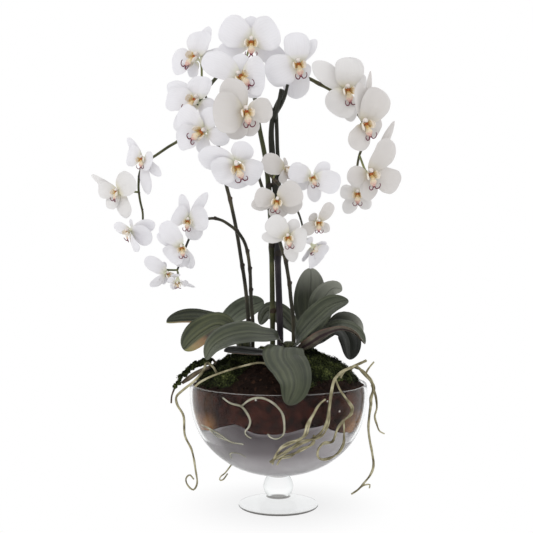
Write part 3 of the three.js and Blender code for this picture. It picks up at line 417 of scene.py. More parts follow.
def clear_glass(name, bend, near, edge, shade_bands=(), clear_to=0.76, near_at=0.92):
    """Clear glass whose tint deepens where one looks along its wall, with painted shade as dark rings
    at given heights and radii
    """
    material, add = new_material(name)
    edge_on = add("LayerWeight", {"Blend": 0.35})
    tint = add("ValToRGB", {0: edge_on.outputs["Facing"]}, stops=[(0.0, "ffffff"), (clear_to, "fafcfc"),
                                                                  (near_at, near), (1.0, edge)])
    colour = tint
    if shade_bands:
        spot = add("TexCoord").outputs["Object"]
        split = add("SeparateXYZ", {0: spot})
        flat = add("CombineXYZ", {0: split.outputs["X"], 1: split.outputs["Y"]})
        reach = add("VectorMath", {0: flat}, operation="LENGTH")
    for height, half, radius in shade_bands:
        ring = add("CombineXYZ", {0: reach.outputs["Value"], 1: split.outputs["Z"]})
        away = add("VectorMath", {0: ring, 1: (radius * MM, height * MM, 0)}, operation="DISTANCE")
        # Painted shade: the colour turns dark grey near each ring
        dark = add("MapRange", {"Value": away.outputs["Value"], "From Min": half * MM,
                                "From Max": 0.4 * half * MM}, **EASED)
        colour = add("Mix", {0: dark, 6: colour, 7: "615f5d"}, data_type="RGBA")
    skin = add("BsdfPrincipled", {"Base Color": colour, "Roughness": 0.0, "IOR": bend,
                                  "Transmission Weight": 1.0})
    add("OutputMaterial", {"Surface": skin})
    return material


glass = clear_glass("clear_soda_lime_glass", FOOT_IOR, "d9dede", "7d8486", EDGE_SHADE_BANDS)
bowl_glass = clear_glass("thin_blown_glass", BOWL_IOR, "dfdada", "a6a2a2")
knob_glass = clear_glass("solid_glass_knob", FOOT_IOR, "dfe2e1", "969b9a", KNOB_SHADE_BANDS, 0.25, 0.52)
underside = clear_glass("glass_that_touches_the_paper", 1.02, "ffffff", "ffffff")

# The top of the rim is partly opaque light grey: a painted light line where the rim catches the light
rim_line_glass, add = new_material("rim_with_painted_light_line")
skin = add("BsdfPrincipled", {"Base Color": "cfcfcc", "Roughness": 0.1, "IOR": RIM_IOR,
                              "Transmission Weight": 0.7})
add("OutputMaterial", {"Surface": skin})

# %% Vase
# Height of the painted light line at the top of the rim
RIM_LINE_BAND = 0.35

foot_line = [(0, 0), (FOOT_RADIUS - 1, 0), (FOOT_RADIUS, 1.2), (FOOT_RADIUS - 0.8, 3)]
neck = Route([(FOOT_RADIUS - 0.8, 0, 3), (38, 0, 6.2), (20, 0, 12.2), (15.6, 0, 13.9)])
ball = Route([(15.6, 0, 13.9), (19.4, 0, 19), (KNOB_RADIUS, 0, 28), (19.6, 0, 37), (15.4, 0, 44)])
for part, count in ((neck, 10), (ball, 16)):
    for i in range(1, count + 1):
        point = part.point(i / count) / MM
        foot_line.append((point.x, point.z))
outer = [p for p in bowl_line(0, 0, RIM - 1.2, 44) if p[0] > 16.5]
rim_middle = bowl_radius(RIM) - WALL / 2
rim = [(rim_middle + WALL / 2 * math.cos(a), RIM - 0.8 + WALL / 2 * math.sin(a))
       for a in (math.radians(18 * i) for i in range(1, 10))]
inner = bowl_line(WALL, BOTTOM_WALL, RIM - 1.2, 40)[::-1]
vase_bm = bmesh.new()
spun(vase_bm, [*foot_line, *outer, *rim, *inner, (0, BOWL_BOTTOM + BOTTOM_WALL + 0.6)], 128)
for face in vase_bm.faces:
    z = face.calc_center_median().z / MM
    foot_slot = 4 if z > KNOB_FROM else 0 if z > 0.1 else 3
    face.material_index = 1 if z > RIM - RIM_LINE_BAND else 2 if z > BOWL_BOTTOM + 2 else foot_slot
print("vase faces", len(vase_bm.faces))
finish("vase_glass_blown", vase_bm, [glass, rim_line_glass, bowl_glass, underside, knob_glass],
       "vase_glass")

# %% [markdown]
# ## Resin, soil and moss
# The lower half of the bowl holds a clouded setting resin that looks like standing water. It
# is grey and murky in the middle and clears towards the glass, because light passes through
# less of it there: an absorbing volume does that, and a painted shade of the soil above darkens
# the resin's top and middle too. The soil above is a loose mix of bark and coir, so its surface
# is broken up by noise and strewn with chips and fibres. Moss lies round it as low cushions;
# tufts of small pointed leaves give it its velvet edge.

# %% Heights of the filling
BORDER = 130
BORDER_WAVE = 8
BORDER_PEAKS = {12: -1.2, 13: -2.0, 14: -1.7, 15: -0.6, 16: 0.8, 17: -0.85, 18: -0.9, 19: 0.1, 20: 0.4,
                21: -1.5, 22: -2.1, 23: -2.0}
SOIL_TOP = 222
SOIL_FALL = 46
FILL_TOP = RIM - 3
MOSS_START = -75
MOSS_END = 236
MOSS_INNER = 36
MOSS_OUTER = 117


def border_height(radius, angle):
    """Wavy border between the resin and the soil above it"""
    step = angle % (2 * math.pi) / math.radians(15)
    low, part = int(step) % 24, step - int(step)
    waves = [BORDER_PEAKS.get(k, math.sin(k * 1.9 + 0.6)) for k in (low, (low + 1) % 24)]
    wave = waves[0] + (waves[1] - waves[0]) * part
    fine = 2.4 * noise.noise(Vector((math.cos(angle), math.sin(angle), 0.3)) * 9)
    return BORDER + BORDER_WAVE * radius / 134 * wave + fine * radius / 134


def soil_height(radius):
    return max(SOIL_TOP - SOIL_FALL * (radius / 120) ** 2.2, FILL_TOP)


def fill_radius(z):
    low = max(0, (BOWL_WIDEST - z) / (BOWL_WIDEST - BOWL_BOTTOM))
    return bowl_radius(z) - (WALL + GAP + FILL_INSET) * (1 - 0.3 * low)


print("soil stands", SOIL_TOP - RIM, "mm above the rim")

# %% Clouded setting resin
CLOUD_GRAIN = 34
RESIN_DENSITY = 7.0

resin, add = new_material("clouded_casting_resin")
spot = add("TexCoord").outputs["Object"]
cloud = add("TexNoise", {0: spot, "Scale": 1000 / CLOUD_GRAIN, "Detail": 5.0, "Roughness": 0.6})
shade = add("ValToRGB", {0: cloud}, stops=[(0.3, "dcd8da"), (0.5, "f2eff0"), (0.7, "ffffff")])
split = add("SeparateXYZ", {0: spot})
# Painted shade of the soil above: the resin's colour turns dark grey towards its top and its middle
near_soil_share = add("MapRange", {"Value": split.outputs["Z"], "From Min": 0.070, "From Max": 0.100}, **EASED)
shift = add("Math", {0: split.outputs["X"], 1: 0.015}, operation="ADD")
flank = add("Math", {0: shift}, operation="ABSOLUTE")
inner = add("MapRange", {"Value": flank, "From Min": 0.09, "From Max": 0.02, "To Min": 0.2}, **EASED)
soil_shade_share = add("Math", {0: near_soil_share, 1: inner}, operation="MULTIPLY")
painted_soil_shade = add("Mix", {0: soil_shade_share, 6: shade, 7: "767073"}, data_type="RGBA")
skin = add("BsdfPrincipled", {"Base Color": painted_soil_shade, "Roughness": 0.3, "IOR": 1.12, "Transmission Weight": 1.0,
                              "Specular IOR Level": 0.3})
haze = add("VolumeAbsorption", {"Color": "8a8084", "Density": RESIN_DENSITY})
add("OutputMaterial", {"Surface": skin, "Volume": haze})

# %% Resin body
RESIN_LOW = BOWL_BOTTOM + BOTTOM_WALL + 0.9

heights = [RESIN_LOW + 1 + (BORDER - RESIN_LOW - 1) * (i / 30) ** 1.6 for i in range(31)]
side = [(fill_radius(z), z) for z in heights]
resin_bm = bmesh.new()
spun(resin_bm, [(0, RESIN_LOW), *side, (80, BORDER), (40, BORDER), (0, BORDER)], 144)
for vert in resin_bm.verts:
    radius = math.hypot(vert.co.x, vert.co.y) / MM
    angle = math.atan2(vert.co.y, vert.co.x)
    share = (vert.co.z / MM - RESIN_LOW) / (BORDER - RESIN_LOW)
    z = vert.co.z / MM + (border_height(radius, angle) - BORDER) * share ** 2
    on_side = abs(radius - fill_radius(vert.co.z / MM)) < 1
    out = fill_radius(z) if on_side and z > RESIN_LOW + 2 else radius
    vert.co = polar(out, angle, z) * MM
print("resin faces", len(resin_bm.faces))
finish("resin_water_set", resin_bm, [resin], "resin_water")

# %% Bark and coir soil
BARK_GRAIN = 5.0
CRUMB_GRAIN = 1.6
TAN_PATCH = 22
CLOD_GRAIN = 14

soil, add = new_material("bark_and_coir_soil")
spot = add("TexCoord").outputs["Object"]
grain = add("TexVoronoi", {0: spot, "Scale": 1000 / BARK_GRAIN})
crumb = add("TexNoise", {0: spot, "Scale": 1000 / CRUMB_GRAIN, "Detail": 6.0, "Roughness": 0.7})
patch = add("TexNoise", {0: spot, "Scale": 1000 / TAN_PATCH, "Detail": 3.0})
dark = add("ValToRGB", {0: crumb}, stops=[(0.3, "0c0806"), (0.5, "1a110e"), (0.66, "2a1c17"),
                                          (0.8, "4a3427")])
chips = add("ValToRGB", {0: grain.outputs["Color"]}, stops=[(0.0, "110b09"), (0.5, "20150f"),
                                                            (0.85, "33231b"), (1.0, "5d412e")])
earth = add("Mix", {0: 0.5, 6: dark, 7: chips}, data_type="RGBA")
split = add("SeparateXYZ", {0: spot})
sunk = add("MapRange", {"Value": split.outputs["Z"], "From Min": 0.178, "From Max": 0.170, "To Max": 0.75})
clods = add("TexNoise", {0: spot, "Scale": 1000 / CLOD_GRAIN, "Detail": 4.0, "Roughness": 0.6})
damp = add("ValToRGB", {0: clods}, stops=[(0.36, "1c1312"), (0.5, "381f1a"), (0.64, "553028")])
red = add("Mix", {0: sunk, 6: earth, 7: damp}, data_type="RGBA")
flank = add("Math", {0: split.outputs["X"]}, operation="ABSOLUTE")
flank_share = add("MapRange", {"Value": flank, "From Min": 0.078, "From Max": 0.098}, **EASED)
deep = add("MapRange", {"Value": split.outputs["Z"], "From Min": 0.150, "From Max": 0.126, "To Min": 0.12},
           **EASED)
broken = add("MapRange", {"Value": patch, "From Min": 0.35, "From Max": 0.55, "To Min": 0.4})
place = add("Math", {0: flank_share, 1: deep}, operation="MULTIPLY")
above = add("Math", {0: place, 1: broken}, operation="MULTIPLY")
spread = add("Math", {0: above, 1: sunk}, operation="MULTIPLY")
tanned = add("Mix", {0: spread, 6: red, 7: "a8753f"}, data_type="RGBA")
lumps = add("Math", {0: crumb, 1: 0.5}, operation="MULTIPLY")
height = add("Math", {0: lumps, 1: grain}, operation="ADD")
bump = add("Bump", {"Height": height, "Strength": 0.9, "Distance": 1.2 * MM})
skin = add("BsdfPrincipled", {"Base Color": tanned, "Normal": bump, "Roughness": 0.95,
                              "Specular IOR Level": 0.15})
add("OutputMaterial", {"Surface": skin})

# %% Soil body
top_line = [(r, soil_height(r)) for r in range(0, 120, 3)][::-1]
side = [(fill_radius(z), z) for z in range(BORDER + 1, FILL_TOP + 1, 3)]
soil_bm = bmesh.new()
spun(soil_bm, [(0, BORDER + GAP), (60, BORDER + GAP), (100, BORDER + GAP), *side, *top_line], 160)
for vert in soil_bm.verts:
    radius = math.hypot(vert.co.x, vert.co.y) / MM
    angle = math.atan2(vert.co.y, vert.co.x)
    z = vert.co.z / MM
    if z < FILL_TOP - 2:
        share = (FILL_TOP - z) / (FILL_TOP - BORDER)
        z += (border_height(radius, angle) + GAP - BORDER) * share
        radius = fill_radius(z) if radius > 101 else radius
        lump = 0.4 * noise.noise(polar(radius, angle, z) / 4)
        radius = min(radius + lump, fill_radius(z) + 0.3)
    else:
        flat = polar(radius, angle)
        z += 2.4 * noise.noise(flat / 14) + 1.6 * noise.noise(flat / 4.5)
    vert.co = polar(radius, angle, z) * MM
print("soil faces", len(soil_bm.faces))

# %% Copies of small shapes
def stamped(bm, template, matrix, slot=None):
    """Copy of a template mesh, moved into place inside a bmesh"""
    before = len(bm.verts)
    bm.from_mesh(template)
    bm.verts.ensure_lookup_table()
    fresh = bm.verts[before:]
    bmesh.ops.transform(bm, matrix=matrix, verts=fresh)
    if slot is not None:
        for face in {face for vert in fresh for face in vert.link_faces}:
            face.material_index = slot
    return fresh


def template_of(bm):
    mesh = bpy.data.meshes.new("template")
    bm.to_mesh(mesh)
    bm.free()
    return mesh


def in_order(bm):
    """The same bmesh without gaps in its vertex order, so that new copies come last"""
    fresh = bmesh.new()
    fresh.from_mesh(template_of(bm))
    return fresh


def random_turn():
    axis = Vector((random.uniform(-1, 1), random.uniform(-1, 1), random.uniform(-1, 1))).normalized()
    return Matrix.Rotation(random.uniform(0, 6.28), 4, axis)


def on_mound(radius, angle, lift=0.0):
    return polar(radius, angle, soil_height(radius) + lift) * MM


print("a place on the mound", [round(c, 3) for c in on_mound(60, 0)])

# %% Bark chips, coir fibres and perlite
CHIP_COUNT = 620
FIBRE_COUNT = 170
PERLITE = [(63.1, -105.9, 166.7), (79.9, -93.6, 151.5), (76.7, -85.6, 116.5), (-30.8, -119.2, 170.2)]

chip_bm = bmesh.new()
bmesh.ops.create_icosphere(chip_bm, subdivisions=1, radius=1 * MM)
for vert in chip_bm.verts:
    vert.co *= 1 + 0.5 * noise.noise(vert.co * 900)
bmesh.ops.scale(chip_bm, vec=(2.6, 1.5, 0.8), verts=chip_bm.verts)
chip = template_of(chip_bm)
fibre_bm = bmesh.new()
tube(fibre_bm, Route([(-9, 0, 0), (-3, 2, 1.5), (3, -1, 0.5), (9, 1, 2)]), lambda s: 0.28 * MM, 4, 7)
fibre = template_of(fibre_bm)
soil_bm = in_order(soil_bm)
for i in range(CHIP_COUNT):
    radius = 116 * math.sqrt(random.random())
    place = Matrix.Translation(on_mound(radius, random.uniform(0, 2 * math.pi), 0.6))
    grown = Matrix.Scale(random.uniform(0.6, 1.5), 4)
    stamped(soil_bm, chip, place @ random_turn() @ grown, 1 if i % 3 else 0)
for i in range(FIBRE_COUNT):
    radius = 112 * math.sqrt(random.random())
    place = Matrix.Translation(on_mound(radius, random.uniform(0, 2 * math.pi), 1.6))
    turn = Matrix.Rotation(random.uniform(0, 6.28), 4, "Z")
    tilt = Matrix.Rotation(random.uniform(-0.3, 0.3), 4, "Y")
    stamped(soil_bm, fibre, place @ turn @ tilt @ Matrix.Scale(random.uniform(0.5, 1.2), 4), 1)
grain_bm = bmesh.new()
bmesh.ops.create_icosphere(grain_bm, subdivisions=2, radius=1.35 * MM)
for vert in grain_bm.verts:
    vert.co *= 1 + 0.3 * noise.noise(vert.co * 1500)
grain_mesh = template_of(grain_bm)
for place in PERLITE:
    stamped(soil_bm, grain_mesh, Matrix.Translation(Vector(place) * MM) @ random_turn(), 2)

print("soil faces with chips", len(soil_bm.faces))

# %% Bark and perlite skins
bark, add = new_material("shredded_bark")
spot = add("TexCoord").outputs["Object"]
streak = add("TexNoise", {0: spot, "Scale": 1000 / 9.0, "Detail": 4.0})
shade = add("ValToRGB", {0: streak}, stops=[(0.35, "150e0b"), (0.55, "281b15"), (0.75, "543c2b")])
skin = add("BsdfPrincipled", {"Base Color": shade, "Roughness": 0.9, "Specular IOR Level": 0.15})
add("OutputMaterial", {"Surface": skin})

perlite, add = new_material("expanded_perlite")
spot = add("TexCoord").outputs["Object"]
pit = add("TexNoise", {0: spot, "Scale": 1000 / 0.8})
bump = add("Bump", {"Height": pit, "Strength": 0.5, "Distance": 0.2 * MM})
skin = add("BsdfPrincipled", {"Normal": bump, "Base Color": "eeeae2", "Roughness": 0.9})
add("OutputMaterial", {"Surface": skin})
finish("potting_soil_loose", soil_bm, [soil, bark, perlite], "potting_soil")

# %% Cushion moss
MOSS_SHADE = 26
MOSS_BARE = 13
moss, add = new_material("cushion_moss")
spot = add("TexCoord").outputs["Object"]
patch = add("TexNoise", {0: spot, "Scale": 1000 / MOSS_SHADE, "Detail": 4.0, "Roughness": 0.65})
speck = add("TexNoise", {0: spot, "Scale": 1000 / 2.4, "Detail": 3.0})
blend = add("Mix", {0: 0.45, 2: patch, 3: speck})
shade = add("ValToRGB", {0: blend}, stops=[(0.39, "0a0c07"), (0.47, "191d10"), (0.55, "333a1e"),
                                           (0.62, "5b6338"), (0.69, "8b905a")])
bump = add("Bump", {"Height": speck, "Strength": 0.8, "Distance": 1.0 * MM})
skin = add("BsdfPrincipled", {"Base Color": shade, "Normal": bump, "Roughness": 0.9,
                              "Specular IOR Level": 0.15})
add("OutputMaterial", {"Surface": skin})


def moss_share(radius, angle):
    """How full the moss stands at a place: 0 at its ragged edge, 1 inside"""
    ragged = 9 * noise.noise(polar(radius, angle, 40) / 16)
    low, high = math.radians(MOSS_START), math.radians(MOSS_END)
    turn = (angle - low) % (2 * math.pi) + low
    along = min(turn - low, high - turn) * radius
    bare = MOSS_BARE * smooth_step(1 - abs(math.degrees(turn) + 45) / 42)
    edge = min(radius - MOSS_INNER, MOSS_OUTER + 2 - bare - radius, along) + ragged
    return smooth_step(edge / 9)


def moss_height(radius, angle):
    flat = polar(radius, angle)
    cushion = 0.8 + 0.7 * noise.noise(flat / 15) + 0.25 * noise.noise(flat / 5)
    return soil_height(radius) - 1.5 + 8.5 * moss_share(radius, angle) * cushion


def moss_place(along, across, side):
    low, high = math.radians(MOSS_START), math.radians(MOSS_END)
    angle = low + (across + 1) / 2 * (high - low)
    radius = MOSS_INNER + (MOSS_OUTER - MOSS_INNER) * along
    rim = min(along, 1 - along, (1 - abs(across)) * 2) < 0.001
    z = soil_height(radius) - 2.5 if rim or side < 0 else moss_height(radius, angle)
    return polar(radius, angle, z) * MM


moss_bm = bmesh.new()
blade(moss_bm, 42, 170, moss_place)
print("moss faces", len(moss_bm.faces))

# %% Moss tufts, and cushions over the rim
TUFT_LEAF = 3.6
CLUMP_RADIUS = 8
CLUMP_COUNT = 330
MOSS_OVER_RIM = [(-98, -27, 212), (-111, -32, 209), (-122, -37, 203), (-131, -40, 196), (-138, -41, 187),
                 (-143, -41, 178)]
RIM_CUSHIONS = 13

clump_bm = bmesh.new()
for i in range(14):
    spread = CLUMP_RADIUS * math.sqrt(random.random()) * MM
    turn = random.uniform(0, 6.28)
    root = Matrix.Translation((spread * math.cos(turn), spread * math.sin(turn), 0.4 * MM))
    for k in range(5):
        lean = Matrix.Rotation(k * 1.257 + turn, 4, "Z") @ Matrix.Rotation(random.uniform(0.35, 0.85), 4, "Y")
        tall = TUFT_LEAF * random.uniform(0.7, 1.2) * MM
        tip = Matrix.Translation((0, 0, tall / 2))
        bmesh.ops.create_cone(clump_bm, cap_ends=True, segments=3, radius1=0.5 * MM, radius2=0,
                              depth=tall, matrix=root @ lean @ tip)
clump = template_of(clump_bm)
moss_bm = in_order(moss_bm)
placed = 0
while placed < CLUMP_COUNT:
    radius = random.uniform(MOSS_INNER ** 2, MOSS_OUTER ** 2) ** 0.5
    angle = random.uniform(math.radians(MOSS_START), math.radians(MOSS_END))
    if moss_share(radius, angle) < 0.45:
        continue
    placed += 1
    place = Matrix.Translation((radius * math.cos(angle) * MM, radius * math.sin(angle) * MM, 0))
    for vert in stamped(moss_bm, clump, place @ Matrix.Rotation(random.uniform(0, 6.28), 4, "Z")):
        out = math.hypot(vert.co.x, vert.co.y) / MM
        vert.co.z += moss_height(out, math.atan2(vert.co.y, vert.co.x)) * MM
over_rim = Route(MOSS_OVER_RIM)
cushion_bm = bmesh.new()
bmesh.ops.create_icosphere(cushion_bm, subdivisions=4, radius=5.2 * MM)
for vert in cushion_bm.verts:
    vert.co *= 1 + 0.35 * noise.noise(vert.co * 300) + 0.3 * noise.noise(vert.co * 1100)
cushion = template_of(cushion_bm)
for i in range(RIM_CUSHIONS):
    spot = over_rim.point(i / (RIM_CUSHIONS - 1))
    place = Matrix.Translation(spot + Vector((random.uniform(-2, 2), random.uniform(-3, 3), 0)) * MM)
    stamped(moss_bm, cushion, place @ random_turn() @ Matrix.Scale(random.uniform(0.8, 1.1) - 0.03 * i, 4))
    stamped(moss_bm, clump, place @ random_turn() @ Matrix.Scale(0.6, 4))
print("moss faces", len(moss_bm.faces))
finish("moss_cushions", moss_bm, [moss], "moss_cover")

# %% [markdown]
# ## Crowns and leaves
# A moth orchid has no trunk: thick leaves clasp each other in two rows round a short crown.
# Each leaf is leathery, folded along its midrib, dark olive green above with a satin wax, and
# tan to purple-brown below. So a leaf is a blade with a skin of its own on each side, and its
# midrib and long veins follow its own map.

# %% Upper sides of the leaves
VEIN_COUNT = 26
FULL_WAVE = 6.283

def leaf_skin(name, shades, margin=0.0, tip_sheen=0.0, start=0.5):
    """Upper side of a leaf: streaks, veins, an ageing margin that holds painted shade under its fold,
    painted shade in the midrib's groove and near the crown, and a painted sheen towards the tip
    """
    material, add = new_material(name)
    spot = add("TexCoord").outputs["Object"]
    own = add("UVMap")
    split = add("SeparateXYZ", {0: own})
    across = add("Math", {0: split.outputs["X"], 1: 0.5}, operation="SUBTRACT")
    off = add("Math", {0: across}, operation="ABSOLUTE")
    rib = add("MapRange", {"Value": off, "From Min": 0.05, "From Max": 0.0}, **EASED)
    mottle = add("TexNoise", {0: spot, "Scale": 1000 / 60, "Detail": 3.0})
    long_way = add("Mapping", {0: own, "Scale": (9.0, 1.1, 1.0)})
    streak = add("TexNoise", {0: long_way, "Scale": 1.0, "Detail": 4.0})
    tone = add("Mix", {0: 0.35, 2: streak, 3: mottle})
    shade = add("ValToRGB", {0: tone}, stops=zip((0.36, 0.5, 0.64), shades))
    inside = add("MapRange", {"Value": split.outputs["X"], "From Min": 0.42, "From Max": 0.28}, **EASED)
    outer = add("MapRange", {"Value": split.outputs["Y"], "From Min": 0.2, "From Max": 0.36,
                             "To Max": margin}, **EASED)
    ageing_and_fold_shade_share = add("Math", {0: inside, 1: outer}, operation="MULTIPLY")
    # The margin's colour: its dark brown first stretch is painted shade under the leaf's fold; the tan and
    # olive beyond are the ageing margin's own colour
    margin_and_fold_shade_ramp = add("ValToRGB", {0: split.outputs["Y"]}, stops=[(0.3, "2a1f1a"), (0.58, "33231c"),
                                                          (0.66, "94704a"), (0.78, "a18a5e"),
                                                          (0.92, "7f824c")])
    ageing_and_fold_shaded = add("Mix", {0: ageing_and_fold_shade_share, 6: shade, 7: margin_and_fold_shade_ramp}, data_type="RGBA")
    # Painted sheen: the colour turns pale grey towards the tip, for the light the leaf reflects there
    far = add("MapRange", {"Value": split.outputs["Y"], "From Min": start, "From Max": 0.92, "To Max": tip_sheen},
              **EASED)
    sheened = add("Mix", {0: far, 6: ageing_and_fold_shaded, 7: "94968b"}, data_type="RGBA")
    # Painted shade: the colour darkens towards the crown, where the leaves shade each other
    low = add("MapRange", {"Value": split.outputs["Y"], "From Min": 0.36, "From Max": 0.02, "To Max": 0.6},
              **EASED)
    crown_shaded = add("Mix", {0: low, 6: sheened, 7: "1e2118"}, data_type="RGBA")
    # Painted shade: a dark line along the midrib's groove
    line = add("Math", {0: rib, 1: 0.4}, operation="MULTIPLY")
    groove_shaded = add("Mix", {0: line, 6: crown_shaded, 7: "2b2f25"}, data_type="RGBA")
    stripe = add("Math", {0: split.outputs["X"], 1: VEIN_COUNT * FULL_WAVE}, operation="MULTIPLY")
    vein = add("Math", {0: stripe}, operation="SINE")
    groove = add("Math", {0: rib, 1: -3.0}, operation="MULTIPLY")
    relief = add("Math", {0: vein, 1: 0.12, 2: groove}, operation="MULTIPLY_ADD")
    folds = add("Math", {0: streak, 1: 3.0, 2: relief}, operation="MULTIPLY_ADD")
    bump = add("Bump", {"Height": folds, "Strength": 0.5, "Distance": 0.6 * MM})
    skin = add("BsdfPrincipled", {"Base Color": groove_shaded, "Normal": bump, "Roughness": 0.4,
                                  "Coat Weight": 0.1, "Coat Roughness": 0.3, "Specular IOR Level": 0.4})
    add("OutputMaterial", {"Surface": skin})
    return material


leaf_top = leaf_skin("waxy_leaf_upper_side", ("30352a", "434838", "5c614c"))
old_leaf_with_fold_shade = leaf_skin("ageing_leaf_upper_side_with_fold_shade", ("323629", "464b35", "5f6346"), 0.8)
# Lit copy: lighter tones paint the light that shines through this leaf from behind
painted_backlit_leaf = leaf_skin("leaf_upper_side_with_painted_backlight", ("4a5042", "5f6656", "757b66"))
# Shaded copies: darker tones paint the shade that these leaves lie in
leaf_in_painted_shade = leaf_skin("shaded_leaf_upper_side", ("131512", "1e211b", "2c2f27"))
ageing_leaf_in_painted_shade = leaf_skin("ageing_shaded_leaf_upper_side", ("20241a", "2f3425", "464a35"), 0.8)
# Copies with a painted sheen that turns the tip pale grey; the second also has darker tones of painted shade
tip_sheen_leaf = leaf_skin("leaf_upper_side_with_painted_tip_sheen", ("30352a", "434838", "5c614c"), 0.0, 0.9)
shaded_leaf_with_tip_sheen = leaf_skin("darker_leaf_upper_side_in_painted_shade_with_tip_sheen", ("252a20", "35392c", "4b503e"), 0.0, 0.95, 0.6)
print("upper sides", [m.name for m in (leaf_top, old_leaf_with_fold_shade, painted_backlit_leaf, leaf_in_painted_shade, tip_sheen_leaf)])

# %% Undersides of the leaves
def leaf_back(name, crease):
    """Underside of a leaf, with a purple crease at a share of the width from its midrib"""
    material, add = new_material(name)
    spot = add("TexCoord").outputs["Object"]
    own = add("UVMap")
    mottle = add("TexNoise", {0: spot, "Scale": 1000 / 22, "Detail": 4.0})
    shade = add("ValToRGB", {0: mottle}, stops=[(0.3, "554e47"), (0.5, "6f685c"), (0.72, "87806c")])
    split = add("SeparateXYZ", {0: own})
    across = add("Math", {0: split.outputs["X"], 1: 0.5}, operation="SUBTRACT")
    off = add("Math", {0: across}, operation="ABSOLUTE")
    from_crease = add("Math", {0: off, 1: crease}, operation="SUBTRACT")
    away = add("Math", {0: from_crease}, operation="ABSOLUTE")
    rib = add("MapRange", {"Value": away, "From Min": 0.08, "From Max": 0.03, "To Max": 0.85}, **EASED)
    grooved = add("Mix", {0: rib, 6: shade, 7: "35222a"}, data_type="RGBA")
    edge = add("MapRange", {"Value": off, "From Min": 0.4, "From Max": 0.48, "To Max": 0.7}, **EASED)
    edged = add("Mix", {0: edge, 6: grooved, 7: "7b6156"}, data_type="RGBA")
    stripe = add("Math", {0: split.outputs["X"], 1: VEIN_COUNT * FULL_WAVE}, operation="MULTIPLY")
    vein = add("Math", {0: stripe}, operation="SINE")
    bump = add("Bump", {"Height": vein, "Strength": 0.3, "Distance": 0.3 * MM})
    skin = add("BsdfPrincipled", {"Base Color": edged, "Normal": bump, "Roughness": 0.6,
                                  "Specular IOR Level": 0.3})
    add("OutputMaterial", {"Surface": skin})
    return material


leaf_under = leaf_back("leaf_underside", 0.0)
creased_under = leaf_back("creased_leaf_underside", 0.24)
print("undersides", leaf_under.name, creased_under.name)

